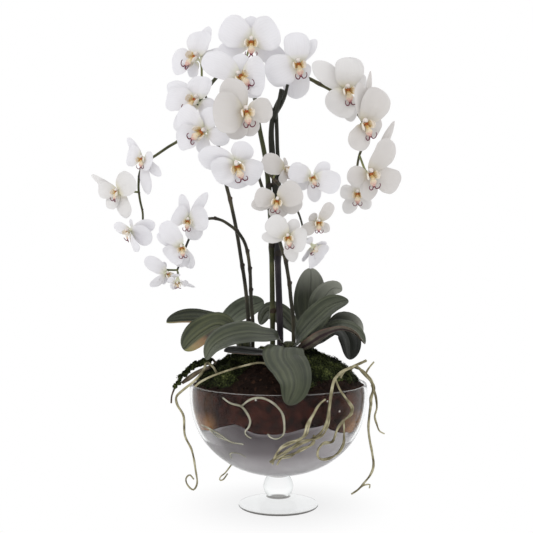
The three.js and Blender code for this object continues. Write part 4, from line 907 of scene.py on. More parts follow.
# %% Leaves: crown, width, fold, facing at root and tip, and route, in millimetres
CROWNS = {
    "crown_left": [(-50, -8, 196), (-50, -8, 252)],
    "crown_front": [(15, -16, 196), (15, -16, 238)],
    "crown_right": [(42, 9, 196), (42, 9, 242)],
}
CROWN_RADIUS = [(0, 9.4), (0.5, 10.4), (0.9, 9.6), (1, 6)]
LEAF_SEAT = 1.2
LEAF_THICK = 2.0
LEAF_WIDEST = 0.6
LEAF_LOOKS = {"leaf_left_upper": ageing_leaf_in_painted_shade, "leaf_left_lower": old_leaf_with_fold_shade, "leaf_left_back": painted_backlit_leaf,
              "leaf_front_thin": leaf_in_painted_shade, "leaf_right_hanging": leaf_in_painted_shade,
              "leaf_right_tall": shaded_leaf_with_tip_sheen, "leaf_right_broad": tip_sheen_leaf,
              "leaf_right_back": shaded_leaf_with_tip_sheen}
LEAVES = {
    "leaf_left_upper": dict(
        crown="crown_left", width=38, fold=0.5, up=(0.3, -0.3, 1), up_end=(-0.4, -0.6, 0.8),
        path=[(-61, -6, 244), (-72, -6, 259), (-93, -3, 265), (-114, -4, 267), (-137, -6, 267),
              (-161, -9, 265)]),
    "leaf_left_lower": dict(
        crown="crown_left", widest=0.68, width=48, fold=0.25, up=(0, -0.6, 0.8), up_end=(-0.7, -0.8, 0.2),
        path=[(-58, -17, 235), (-70, -29, 254), (-85, -36, 262), (-103, -42, 254), (-119, -47, 242),
              (-132, -50, 229)]),
    "leaf_left_back": dict(
        crown="crown_left", widest=0.68, width=34, fold=0.25, up=(0, -0.7, 0.7), up_end=(0.1, -1, 0.3),
        path=[(-58, 3, 238), (-72, 18, 261), (-61, 34, 275), (-43, 42, 285), (-21, 44, 293)]),
    "leaf_front_left": dict(
        crown="crown_front", width=46, fold=0.2, up=(-0.1, -0.7, 0.7), up_end=(-0.75, -0.6, 0.3),
        path=[(3, -23, 234), (-4, -35, 247), (-20, -49, 250), (-43, -64, 253), (-70, -76, 248),
              (-89, -80, 236), (-99, -80, 219)]),
    "leaf_front_thin": dict(
        crown="crown_front", width=32, fold=0.3, up=(0, -0.3, 1), up_end=(-0.1, -0.4, 0.9),
        path=[(6, -31, 223), (-15, -44, 222), (-40, -62, 226), (-60, -70, 229), (-75, -74, 230)]),
    "leaf_front_drooping": dict(
        crown="crown_front", widest=0.42, width=57, fold=0.12, up=(0, 0, 1), up_end=(0.1, -1, 0.1),
        path=[(13, -31, 226), (13, -46, 229), (8, -64, 233), (6, -88, 222), (16, -114, 207),
              (19, -131, 190), (10, -139, 167)]),
    "leaf_right_tall": dict(
        crown="crown_right", width=48, fold=0.2, up=(0, -1, 0.2), up_end=(-0.15, -1, 0.1),
        path=[(44, 22, 240), (47, 46, 264), (48, 57, 292), (50, 60, 320), (50, 59, 343)]),
    "leaf_right_broad": dict(
        crown="crown_right", seat=0.6, width=42, fold=0.15, up=(-0.3, -0.8, 0.4), up_end=(-0.1, -0.7, 0.7),
        path=[(51, 18, 242), (59, 18, 269), (68, 19, 298), (81, 18, 312), (94, 16, 311)]),
    "leaf_right_front": dict(
        crown="crown_front", width=37, fold=0.25, up=(-0.5, -0.7, 0.5), up_end=(-0.2, -0.7, 0.7),
        path=[(25, -25, 231), (32, -40, 252), (53, -36, 274), (74, -29, 290), (99, -25, 297)]),
    "leaf_right_folded": dict(
        crown="crown_front", width=36, fold=0.6, up=(-0.3, 0.7, 0.6), up_end=(0.3, -0.5, 0.8),
        path=[(31, -22, 223), (47, -42, 234), (64, -47, 246), (82, -43, 256), (103, -36, 253),
              (122, -30, 236)]),
    "leaf_right_hanging": dict(
        crown="crown_right", seat=0.9, width=38, fold=0.2, up=(0, -0.2, 1), up_end=(0.45, -0.9, 0.1),
        path=[(54, 5, 238), (74, 0, 254), (92, -2, 254), (102, -4, 239), (103, -8, 211)]),
    "leaf_right_back": dict(
        crown="crown_right", seat=0.95, width=27, fold=0.2, up=(0, -0.4, 0.9), up_end=(0.6, -0.7, 0.3),
        path=[(55, 13, 227), (79, 32, 252), (99, 38, 266), (116, 38, 260), (125, 37, 243)]),
    "leaf_centre_back": dict(
        crown="crown_right", width=32, fold=0.2, up=(0.2, -0.6, 0.8), up_end=(-0.6, -0.7, 0.3),
        path=[(32, 14, 240), (20, 33, 257), (1, 52, 275), (-15, 60, 277), (-27, 61, 257)]),
}

def rounded(share, widest, root, power, tip=1.0):
    """Place along a blade and its share of the full width, with a round or pointed tip"""
    turn_point = 0.62
    if share <= turn_point:
        t = share / turn_point
        return widest * t, root + (1 - root) * math.sin(t * math.pi / 2) ** power
    a = (share - turn_point) / (1 - turn_point) * math.pi / 2
    return widest + (1 - widest) * math.sin(a), math.cos(a) ** tip


def seated(leaf):
    """Route of a leaf whose base clasps its crown, and the way its base faces"""
    base, top = CROWNS[leaf["crown"]]
    first = Vector(leaf["path"][0])
    axis = Vector((base[0], base[1], first.z))
    away = (first - axis).normalized()
    radius = profile(CROWN_RADIUS, (first.z - base[2]) / (top[2] - base[2]))
    start = axis + away * (radius + leaf.get("seat", LEAF_SEAT))
    return Route([start, *leaf["path"][1:]]), Vector((-away.x, -away.y, 0.2))


def leaf_piece(name, leaf, seed):
    route, face_root = seated(leaf)
    up, up_end = Vector(leaf["up"]), Vector(leaf["up_end"])
    half = leaf["width"] / 2 * MM

    def place(along, across, side):
        share, part = rounded(along, leaf.get("widest", LEAF_WIDEST), 0.26, 0.95)
        ahead = route.ahead(share)
        face = face_root.lerp(up.lerp(up_end, share), smooth_step(share / 0.14))
        face = square_to(face, ahead)
        aside = ahead.cross(face)
        reach = half * part
        fold = leaf["fold"] * (math.sqrt(across * across + 0.02) - 0.141) * reach
        ripple = noise.noise(Vector((share * 3.2, across * 0.8, seed * 3.7)))
        sag = 2.4 * MM * ripple * abs(across) ** 1.5 * part
        sag += 0.7 * MM * math.sin(across * 7 + seed) * part * math.sin(along * math.pi)
        thick = LEAF_THICK / 2 * MM * lens(along, across)
        return route.point(share) + aside * across * reach + face * (fold + sag + side * thick)

    bm = bmesh.new()
    blade(bm, 40, 12, place, (0, 1))
    below = creased_under if name == "leaf_right_folded" else leaf_under
    return finish(name + "_blade", bm, [LEAF_LOOKS.get(name, leaf_top), below], name)


for seed, (name, leaf) in enumerate(LEAVES.items()):
    leaf_piece(name, leaf, seed)
print("leaves", len(LEAVES))

# %% Crowns
crown_skin, add = new_material("leaf_base_sheath")
spot = add("TexCoord").outputs["Object"]
long_way = add("Mapping", {0: spot, "Scale": (1, 1, 0.15)})
streak = add("TexNoise", {0: long_way, "Scale": 1000 / 1.8, "Detail": 3.0})
shade = add("ValToRGB", {0: streak}, stops=[(0.35, "2a2b1e"), (0.55, "44492f"), (0.7, "63603f")])
skin = add("BsdfPrincipled", {"Base Color": shade, "Roughness": 0.6})
add("OutputMaterial", {"Surface": skin})

def crown_radius(share):
    return profile(CROWN_RADIUS, share) * (1 + 0.05 * math.sin(share * 40)) * MM


for name, ends in CROWNS.items():
    crown_bm = bmesh.new()
    tube(crown_bm, Route(ends), crown_radius, 20, 24)
    finish(name + "_sheathed", crown_bm, [crown_skin], name)
print("crowns", len(CROWNS))

# %% [markdown]
# ## Flower spikes
# Each spike is a smooth round stem, black-violet or olive, that thickens at its nodes, where
# a small dry bract clasps it. Near the top it arches over under the weight of the blooms, and
# each bloom hangs on a thin stalk of its own. The stalks are grown from the stem, so they
# are tubes of the same piece, and each starts where the spike passes nearest to its bloom.

# %% Blooms: name, spike, centre, turn, lip turn, size, and tepals as (aside, up, width) in millimetres
BLOOM_ROWS = [
    ("top", "olive", (-39, -2, 669), (0, -10), 0, 1,
     [(-43, 24, 46), (38, 18, 50), (0, 37, 30), (-50, -14, 26), (50, -26, 32)]),
    ("top_left", "left", (-121, 38, 655), (-30, 10), -40, 1,
     [(10, 40, 44), (-38, -8, 42), (18, 49, 24), (50, -6, 34), (-12, -24, 26)]),
    ("top_middle", "olive", (-55, -25, 614), (10, 0), 40, 1,
     [(-52, 24, 38), (36, 0, 56), (4, 34, 30), (30, -24, 28), (-20, -26, 28)]),
    ("left_outer", "left", (-118, 0, 584), (-25, 10), -30, 1,
     [(9, 36, 42), (-46, 5, 38), (-46, 31, 30), (24, -16, 30), (-24, -24, 30)]),
    ("middle", "olive", (-47, -60, 558), (20, -5), 10, 1,
     [(-43, -6, 56), (38, 4, 34), (-26, 43, 40), (-20, -36, 34), (12, -30, 30)]),
    ("left_low", "left", (-105, -34, 535), (-30, -10), -60, 1,
     [(-38, 29, 46), (-40, -10, 36), (14, 32, 30), (36, -14, 26), (-5, -30, 26)]),
    ("low_front", "left", (-57, -75, 484), (5, -30), 20, 1,
     [(-34, -12, 40), (33, -14, 40), (0, -32, 44), (-53, 13, 36), (12, 30, 32)]),
    ("top_right", "black", (28, 8, 639), (10, -5), 10, 1,
     [(-3, 45, 40), (-46, -19, 46), (28, 38, 18), (-2, -48, 40), (18, -14, 24)]),
    ("right_first", "black", (97, -18, 597), (15, -10), 10, 1,
     [(2, 44, 44), (-20, -35, 48), (-49, 35, 30), (28, 22, 32), (10, -42, 26)]),
    ("right_second", "black", (119, -45, 544), (20, -10), 20, 1,
     [(22, 48, 42), (-15, -36, 34), (-7, 56, 22), (27, 0, 34), (9, 74, 9)]),
    ("right_third", "black", (128, -30, 477), (20, -15), 15, 1,
     [(45, -15, 36), (28, 46, 34), (-32, -8, 30), (2, -38, 28), (36, 74, 14)]),
    ("right_behind", "black", (118, 28, 453), (-10, -10), 0, 0.8,
     [(-26, 4, 22), (24, 6, 26), (0, 24, 22), (-18, -28, 22), (18, -22, 20)]),
    ("far_left_top", "olive", (-192, -30, 497), (-20, -5), 0, 0.65,
     [(-22, 8, 32), (15, -6, 28), (-23, 31, 13), (7, -50, 17), (26, -24, 15)]),
    ("far_left", "olive", (-228, -20, 452), (-40, -10), -20, 0.65,
     [(-32, 6, 26), (26, 16, 36), (-44, 26, 12), (-19, -22, 24), (10, -38, 32)]),
    ("far_left_low", "olive", (-211, -20, 396), (-60, -20), -20, 0.65,
     [(34, -8, 32), (16, -26, 28), (-26, 6, 20), (38, 9, 20), (0, 17, 16)]),
    ("second_top", "left_bent", (-127, -36, 409), (-5, -5), -5, 0.65,
     [(-20, 12, 32), (28, 6, 36), (-10, 38, 15), (27, 40, 15), (13, -26, 26)]),
    ("second_middle", "left_bent", (-133, -65, 372), (0, -20), 10, 0.65,
     [(-20, -16, 32), (-24, 33, 28), (-34, 17, 20), (-4, -28, 26), (12, -30, 18)]),
    ("second_low", "left_bent", (-157, -45, 336), (50, -20), 30, 0.5,
     [(-27, 20, 20), (-21, -17, 16), (11, -10, 14), (-4, 15, 12), (-4, -16, 12)]),
    ("second_last", "left_bent", (-140, -56, 325), (0, -60), 0, 0.5,
     [(-12, 4, 15), (15, -1, 17), (23, -9, 8), (-8, -12, 12), (-3, 10, 14)]),
    ("centre_top", "centre", (8, -28, 483), (60, 0), 20, 0.65,
     [(-32, 8, 32), (-7, -19, 20), (2, 16, 14), (12, -12, 14), (-6, 15, 16)]),
    ("centre_right", "centre", (47, -50, 469), (-5, -10), 20, 0.65,
     [(-33, 11, 28), (38, -11, 32), (23, 19, 19), (4, -34, 20), (-22, -14, 18)]),
    ("centre_front", "centre", (-3, -75, 435), (0, -15), -10, 0.75,
     [(-30, 7, 28), (32, 16, 36), (-35, -7, 20), (35, -7, 30), (4, -24, 28)]),
    ("centre_low", "centre", (12, -80, 385), (0, -10), 10, 0.7,
     [(-26, 25, 30), (25, -5, 34), (-36, 0, 17), (12, 24, 18), (8, -34, 20)]),
    ("centre_side", "centre", (54, -60, 406), (10, -10), 0, 0.65,
     [(-23, -14, 18), (18, 26, 17), (-11, 10, 15), (16, -12, 14), (0, -12, 14)]),
    ("centre_last", "centre", (49, -40, 373), (60, -40), -30, 0.5,
     [(2, -28, 33), (17, -11, 26), (19, 4, 13), (-14, -21, 18), (-8, 12, 12)]),
]
BLOOMS = {"bloom_" + name: dict(spike="spike_" + spike, at=at, turn=turn, lip=lip, size=size, tepals=tepals)
          for name, spike, at, turn, lip, size, tepals in BLOOM_ROWS}
STALK_START = 7


def facing(turn):
    """Direction that a bloom faces, from its turn to the right and upwards"""
    a, b = (math.radians(v) for v in turn)
    return Vector((math.sin(a) * math.cos(b), -math.cos(a) * math.cos(b), math.sin(b)))


print("blooms", len(BLOOMS))

# %% Spikes: route, radius and the places of the nodes, in millimetres
SPIKES = {
    "spike_left": dict(
        path=[(-42, 20, 172), (-43, 20, 230), (-44, 20, 269), (-47, 20, 305), (-50, 19, 329),
              (-54, 16, 354), (-58, 10, 381), (-62, 2, 405), (-66, -4, 425), (-70, -8, 443),
              (-75, -10, 463), (-80, -10, 492), (-87, -6, 521), (-95, 5, 550), (-102, 16, 580),
              (-112, 26, 612)],
        radius=[(0, 3), (0.7, 2.6), (1, 1.7)],
        nodes=[0.2, 0.38, 0.6]),
    "spike_left_bent": dict(
        path=[(-37, 4, 172), (-37, 4, 231), (-37, 4, 265), (-39, 3, 289), (-40, 2, 313), (-41, 0, 338),
              (-44, -4, 363), (-48, -8, 378), (-54, -12, 389), (-62, -14, 398), (-71, -14, 405),
              (-81, -13, 411), (-94, -12, 414), (-108, -12, 411), (-119, -14, 401), (-127, -20, 385),
              (-134, -26, 366), (-139, -29, 351), (-143, -30, 340)],
        radius=[(0, 2.9), (0.6, 2.4), (1, 1.4)],
        nodes=[0.375, 0.46, 0.53, 0.62, 0.72]),
    "spike_olive": dict(
        path=[(-8, 32, 172), (-8, 31, 246), (-9, 28, 337), (-10, 26, 380), (-12, 23, 430),
              (-15, 20, 472), (-20, 18, 510), (-27, 16, 545), (-32, 17, 575), (-36, 24, 600),
              (-50, 36, 630), (-76, 46, 640), (-102, 50, 618), (-120, 44, 586), (-131, 26, 556),
              (-143, -2, 528), (-158, -13, 516), (-175, -15, 504), (-188, -12, 496), (-197, -10, 485),
              (-201, -8, 462), (-199, -8, 441), (-195, -8, 422), (-195, -8, 404)],
        radius=[(0, 4), (0.4, 3.6), (0.75, 2.3), (1, 1.5)],
        nodes=[0.13, 0.25, 0.36, 0.8, 0.91]),
    "spike_black": dict(
        path=[(3, 25, 172), (3, 25, 247), (0, 24, 337), (-1, 22, 380), (-2, 21, 430), (-5, 20, 475),
              (-9, 20, 515), (-10, 20, 545), (-6, 20, 572), (3, 22, 593), (16, 28, 612), (28, 36, 622),
              (42, 34, 625), (60, 26, 615), (82, 18, 601), (107, 12, 579), (122, 2, 555),
              (127, -6, 538), (124, -6, 522), (118, 2, 508), (116, 20, 490), (117, 40, 474)],
        radius=[(0, 5), (0.5, 4.6), (0.6, 3), (1, 1.6)],
        nodes=[0.27, 0.42, 0.72, 0.87]),
    "spike_centre": dict(
        path=[(23, 6, 172), (22, 5, 257), (21, 4, 276), (18, 2, 300), (16, 0, 320), (13, -2, 339),
              (10, -4, 355), (4, -5, 374), (-3, -5, 400), (-13, -4, 426), (-22, -2, 455),
              (-29, -2, 480), (-27, -3, 494), (-19, -6, 492), (-10, -10, 474), (3, -14, 459),
              (18, -16, 441), (29, -18, 420), (35, -18, 400), (38, -18, 388)],
        radius=[(0, 3.2), (0.6, 2.5), (1, 1.3)],
        nodes=[0.32, 0.39, 0.5, 0.8]),
}
CUT_SHOOTS = [
    dict(path=[(-1, 21, 440), (2, 20, 475), (-1, 20, 515), (-2, 20, 548), (-3, 20, 572)],
         radius=[(0, 2), (0.2, 3), (1, 3)]),
    dict(path=[(-7, 20, 566), (-12, 12, 580), (-14, 8, 584)], radius=[(0, 3.2), (1, 2.2)]),
    dict(path=[(-6, 20, 560), (-1, 6, 577), (2, -6, 588), (4, -12, 599)], radius=[(0, 3.6), (1, 2.7)]),
    dict(path=[(-3, 16, 570), (5, 2, 581), (10, -9, 592), (13, -15, 605)], radius=[(0, 3.1), (1, 2.3)]),
]
NODE_SWELL = 0.2
NODE_REACH = 0.009

# %% Stem skins
STEM = dict(places=(0.3, 0.5, 0.7), blotch=(30, 4.0), fine=(1.5, 2.0), relief=(0.2, 0.2),
            gloss=(0.45, 0.4))


def cord_skin(name, shades, places, blotch, fine, relief, gloss, turns=()):
    """Blotched skin of a stem or root: blotch and fine are noises as (millimetres, detail), relief is
    (strength, millimetres) and gloss is (roughness, specular level). The shade may turn to another
    one along an axis, between two places in metres"""
    material, add = new_material(name)
    spot = add("TexCoord").outputs["Object"]
    tone = add("TexNoise", {0: spot, "Scale": 1000 / blotch[0], "Detail": blotch[1]})
    colour = add("ValToRGB", {0: tone}, stops=zip(places, shades))
    for axis, near, far, other in turns:
        split = add("SeparateXYZ", {0: spot})
        share = add("MapRange", {"Value": split.outputs[axis], "From Min": near, "From Max": far})
        colour = add("Mix", {0: share, 6: colour, 7: other}, data_type="RGBA")
    grain = add("TexNoise", {0: spot, "Scale": 1000 / fine[0], "Detail": fine[1]})
    bump = add("Bump", {"Height": grain, "Strength": relief[0], "Distance": relief[1] * MM})
    skin = add("BsdfPrincipled", {"Base Color": colour, "Normal": bump, "Roughness": gloss[0],
                                  "Specular IOR Level": gloss[1]})
    add("OutputMaterial", {"Surface": skin})
    return material


dark_stem = cord_skin("black_violet_stem", ("1f1c20", "2c282e", "40383c"), **STEM,
                      turns=[("Z", 0.36, 0.43, "2b2c24"), ("X", 0.02, 0.05, "4c4a2c")])
olive_stem = cord_skin("olive_stem", ("32341f", "45482c", "5f603e"), **STEM)
stalk_skin = cord_skin("green_flower_stalk", ("4a4f2c", "6c7242", "8f9160"), **STEM)
brown_stem = cord_skin("brown_olive_stem", ("25241b", "37352a", "524d3a"), **STEM)
bract_skin = cord_skin("dry_bract", ("25211d", "37302a", "56493b"), **STEM)

# %% Spike pieces
def bract(bm, route, share, radius, slot):
    """Small pointed sheath that clasps the stem at a node"""
    ahead = route.ahead(share)
    side = ahead.cross(Vector((0.3, -1, 0.2))).normalized()
    face = side.cross(ahead)
    base = route.point(share)

    def place(along, across, layer):
        part = math.cos(along * math.pi / 2) ** 0.6
        angle = across * 1.15 * part
        thick = 0.15 * MM * off_rim(along, across)
        out = radius * (1.12 + 0.5 * along) + layer * thick
        round_stem = side * math.sin(angle) + face * math.cos(angle)
        return base + round_stem * out + ahead * along * radius * 1.7

    blade(bm, 8, 6, place, (slot, slot))


def nearest_share(route, point):
    return min((k / 100 for k in range(30, 101)), key=lambda s: (route.point(s) - point).length)


def stalk(bm, bloom, route, tip_radius, slot):
    """Flower stalk from the spike to just behind its bloom"""
    face = facing(bloom["turn"]) * MM
    end = Vector(bloom["at"]) * MM - face * (STALK_START + 0.36)
    share = nearest_share(route, end)
    start = route.point(share)
    start = start - (end - start).normalized() * tip_radius * 0.7 * MM
    middle = start.lerp(end, 0.45)
    near = end - face * min(9, 0.4 * (end - start).length / MM)
    steps = [(k / 5, 1 - k / 5) for k in range(6)]
    line = Route([(b ** 3 * start + 3 * a * b * b * middle + 3 * a * a * b * near + a ** 3 * end) / MM
                  for a, b in steps])
    tube(bm, line, lambda s: (min(1.6, tip_radius) + 0.3 * s * s) * MM, 8, 12, slot)
    bract(bm, route, min(share, 0.97), profile([(0, 2.4), (1, 1.6)], share) * MM, 2)


STEM_LOOKS = {"spike_olive": olive_stem, "spike_black": dark_stem}

for name, spike in SPIKES.items():
    spike_bm = bmesh.new()
    route = Route(spike["path"])

    def stem_radius(share):
        swell = sum(math.exp(-((share - place) / NODE_REACH) ** 2) for place in spike["nodes"])
        return profile(spike["radius"], share) * (1 + NODE_SWELL * swell) * MM

    tube(spike_bm, route, stem_radius, 12, round(route.length / (3.2 * MM)))
    for place in spike["nodes"]:
        bract(spike_bm, route, place, stem_radius(place) * 0.98, 2)
    for bloom in BLOOMS.values():
        if bloom["spike"] == name:
            stalk(spike_bm, bloom, route, spike["radius"][-1][1], 1)
    if name == "spike_black":
        for shoot in CUT_SHOOTS:
            shoot_route = Route(shoot["path"])
            tube(spike_bm, shoot_route, lambda s: profile(shoot["radius"], s) * MM, 10, 10)
    look = STEM_LOOKS.get(name, brown_stem)
    finish(name + "_stem", spike_bm, [look, stalk_skin, bract_skin], name)
print("spikes", len(SPIKES))

# %% [markdown]
# ## Air roots
# Orchid roots are soft cords in a spongy pale skin, cream to olive, that wanders, swells and
# dries in rings. They start in the moss, hang over the rim and curl, and two of them lie
# against the inside of the glass. They are tubes with an uneven radius.

# %% Roots: strands of each node, as a path and (share, radius) pairs, in millimetres
ROOTS = {
    "root_left_hanging": [
        ([(-83, -48, 190), (-91, -54, 206), (-99, -60, 212), (-104, -74, 202), (-115, -84, 190),
          (-130, -82, 178), (-140, -73, 167), (-139, -66, 155), (-131, -66, 141), (-129, -64, 113),
          (-120, -60, 92), (-115, -58, 65), (-113, -58, 45), (-118, -58, 37), (-126, -59, 44),
          (-128, -60, 53), (-123, -60, 58), (-117, -61, 52)], [(0, 2.2), (0.5, 2), (1, 1.3)]),
    ],
    "root_left_edge": [
        ([(-84, -17, 194), (-90, -19, 208), (-96, -22, 214), (-118, -30, 206), (-134, -36, 194),
          (-143, -37, 180), (-150, -36, 164), (-151, -36, 153)], [(0, 2.4), (1, 1.5)]),
        ([(-96, -28, 203), (-112, -31, 197), (-126, -33, 188), (-136, -33, 181)], [(0, 3.4), (0.8, 4.4),
          (1, 2.6)]),
    ],
    "root_front_left": [
        ([(-14, -62, 200), (-17, -69, 211), (-27, -74, 214), (-44, -76, 211), (-67, -80, 205),
          (-91, -85, 197), (-107, -88, 189), (-113, -91, 184)], [(0, 1.8), (1, 1.8)]),
    ],
    "root_bunch_right": [
        ([(122, -40, 213), (101, -62, 207), (82, -90, 202), (72, -106, 193), (68, -113, 176),
          (65, -116, 157), (61, -115, 138), (53, -115, 125), (43, -117, 119), (27, -118, 112),
          (13, -116, 104), (1, -113, 98), (-12, -102, 85)], [(0, 2.6), (1, 2)]),
        ([(82, -58, 184), (89, -60, 200), (100, -62, 207)], [(0, 2.2), (1, 2.2)]),
        ([(60, -118, 171), (52, -122, 165), (44, -124, 152), (36, -125, 139), (31, -122, 123),
          (17, -121, 115), (1, -118, 106), (-7, -109, 92), (-9, -98, 82)], [(0, 1.5), (0.3, 2.4),
          (1, 1.6)]),
        ([(45, -118, 124), (43, -115, 113), (31, -113, 104), (17, -112, 98), (4, -109, 93), (-3, -99, 81)],
          [(0, 2), (1, 1.5)]),
        ([(74, -101, 196), (80, -105, 182), (91, -98, 166), (97, -90, 153), (94, -91, 145), (86, -99, 140),
          (77, -101, 128), (70, -99, 112), (59, -106, 112), (52, -104, 103), (52, -97, 91), (65, -78, 83),
          (79, -76, 91), (86, -80, 104), (87, -90, 120), (86, -98, 139)], [(0, 1.8), (1, 1.5)]),
    ],
    "root_right_hanging": [
        ([(100, -6, 188), (105, -13, 200), (112, -22, 202), (122, -27, 192), (131, -31, 182),
          (133, -33, 170), (129, -36, 160), (129, -37, 150), (127, -37, 134), (126, -37, 117),
          (128, -37, 100), (131, -36, 85), (133, -36, 66), (129, -36, 53), (120, -36, 41), (112, -36, 32),
          (102, -36, 25)], [(0, 3), (0.15, 2.6), (1, 1.7)]),
        ([(114, -36, 34), (120, -37, 38), (128, -38, 39), (127, -38, 34)], [(0, 1.5), (1, 1.2)]),
        ([(131, -32, 178), (136, -29, 165), (139, -27, 145), (136, -26, 132), (139, -26, 121),
          (143, -26, 112), (150, -26, 108)], [(0, 1.8), (1, 1.3)]),
        ([(122, -28, 191), (128, -18, 199), (137, -10, 208)], [(0, 2), (1, 1.4)]),
    ],
    "root_back_hanging": [
        ([(-56, 84, 182), (-61, 92, 192), (-66, 98, 190), (-74, 108, 182), (-80, 112, 166),
          (-78, 110, 140), (-68, 104, 108), (-56, 92, 84), (-55, 78, 66), (-64, 66, 52), (-72, 61, 42),
          (-80, 60, 32), (-87, 60, 26), (-88, 60, 21), (-83, 60, 22), (-76, 61, 31)], [(0, 2), (1, 1.3)]),
    ],
    "root_inner_front": [
        ([(-73, -96, 170), (-63, -103, 164), (-49, -110, 161), (-42, -112, 154), (-37, -112, 143),
          (-39, -110, 134), (-44, -107, 127), (-42, -106, 122), (-36, -107, 119)], [(0, 1.4), (0.5, 2),
          (1, 1.3)]),
        ([(-49, -110, 161), (-36, -114, 171), (-22, -117, 173), (-7, -119, 166), (3, -119, 154),
          (6, -117, 138), (4, -113, 124), (-5, -112, 119), (-12, -112, 122), (-15, -113, 126)], [(0, 1.7),
          (0.6, 2.1), (1, 1.4)]),
    ],
    "root_inner_left": [
        ([(-104, -52, 126), (-93, -67, 125), (-82, -78, 121), (-72, -85, 116), (-64, -88, 111),
          (-46, -98, 109)], [(0, 1.3), (0.5, 2), (1, 1.3)]),
        ([(-93, -67, 125), (-85, -73, 118), (-75, -79, 114), (-68, -84, 112)], [(0, 1.4), (1, 1.3)]),
        ([(-68, -72, 84), (-66, -75, 91), (-58, -82, 94.5), (-50, -86, 93), (-44, -87, 89)], [(0, 1.5),
          (1, 1.1)]),
    ],
}
ROOT_STEP = 2.6
ROOT_THIN = 0.82
INNER_GAP = 0.2
VELAMEN = dict(places=(0.3, 0.45, 0.58, 0.74), blotch=(13, 5.0), fine=(1.2, 3.0), relief=(0.6, 0.3),
               gloss=(0.8, 0.25))

pale_root = cord_skin("pale_velamen", ("5f5740", "8d866a", "b1aa8a", "d3cdb3"), **VELAMEN)
# Lit copy for the roots that lie against the glass: paler tones paint the light that the glass and resin take
# from them
root_skin_painted_lighter = cord_skin("velamen_painted_lighter", ("8d8a76", "b5b29c", "cfccb8", "e2dfd0"), **VELAMEN)
brown_root = cord_skin("dry_brown_velamen", ("2e2822", "55493d", "7d6f5d", "a39a85"), **VELAMEN)
ROOT_LOOKS = {"root_left_edge": brown_root, "root_inner_left": root_skin_painted_lighter, "root_inner_front": root_skin_painted_lighter}


ROOTLETS = {"root_bunch_right": [(0, 0.3, 0.98, 3.4, 0), (0, 0.55, 1, 4.6, 2), (2, 0.05, 0.97, 3.2, 1),
                                 (3, 0, 0.95, 3.4, 3), (4, 0.1, 0.55, 3, 2), (4, 0.5, 0.97, 2.6, 5)],
            "root_right_hanging": [(0, 0, 0.34, 4.5, 0), (0, 0.05, 0.42, 5, 2), (0, 0.1, 0.38, 3.4, 4),
                                   (0, 0.62, 1, 1.6, 1), (2, 0, 0.9, 2, 3)],
            "root_left_edge": [(0, 0.2, 0.8, 2.6, 0), (1, 0, 1, 3.4, 2)]}


def rootlet(route, first, last, sway, phase):
    """Route of a thin side root that winds along a main one, on its outer side"""
    points = []
    for k in range(13):
        share = first + (last - first) * k / 12
        spot = route.point(share) / MM
        out = Vector((spot.x, spot.y, 0)).normalized()
        beside = route.ahead(share).cross(out).normalized()
        swing = sway * math.sin(math.pi * (0.08 + 0.84 * k / 12))
        turn = phase * 1.3 + k * 0.85
        points.append(spot + beside * swing * math.sin(turn) + out * swing * (0.5 + 0.3 * math.cos(turn)))
    return Route(points)


def against_glass(point, thick):
    """Place of a root that lies against the inside of the bowl"""
    low = max(0, (BOWL_WIDEST - point.z) / (BOWL_WIDEST - BOWL_BOTTOM))
    radius = bowl_radius(point.z) - WALL * (1 - 0.3 * low) - thick
    flat = Vector((point.x, point.y, 0)).normalized() * radius
    return Vector((flat.x, flat.y, point.z))


for name, strands in ROOTS.items():
    root_bm = bmesh.new()
    for order, (path, radii) in enumerate(strands):
        route = Route(path)
        if "inner" in name:
            thick = radii[0][1] * ROOT_THIN + INNER_GAP
            route = Route([against_glass(route.point(k / 30) / MM, thick) for k in range(31)])

        def root_radius(share):
            lumpy = 1 + 0.22 * noise.noise(Vector((share * route.length * 90, order * 5, len(name))))
            return profile(radii, share) * ROOT_THIN * lumpy * MM

        tube(root_bm, route, root_radius, 8, max(6, round(route.length / (ROOT_STEP * MM))))
        for strand_order, first, last, sway, phase in ROOTLETS.get(name, ()):
            if strand_order == order:
                side_route = rootlet(route, first, last, sway, phase)
                tube(root_bm, side_route, lambda s: (1.15 - 0.45 * s) * MM, 6, 40)
    finish(name + "_cord", root_bm, [ROOT_LOOKS.get(name, pale_root)], name)
print("roots", len(ROOTS))

# %% [markdown]
# ## Blooms
# A moth orchid bloom has three sepals behind and two broad petals in front, all white with a
# waxy sparkle and faint long veins. In the middle stand a short blunt column and, below it,
# the lip: two side lobes that rise on either side, a yellow callus with red stripes between
# them, and a narrow middle lobe that ends in two curled crimson tendrils. Every tepal keeps
# its own reach and width, so that each bloom turns and opens as its own on the plant.

# %% Petal skins
PETAL_VEINS = 11

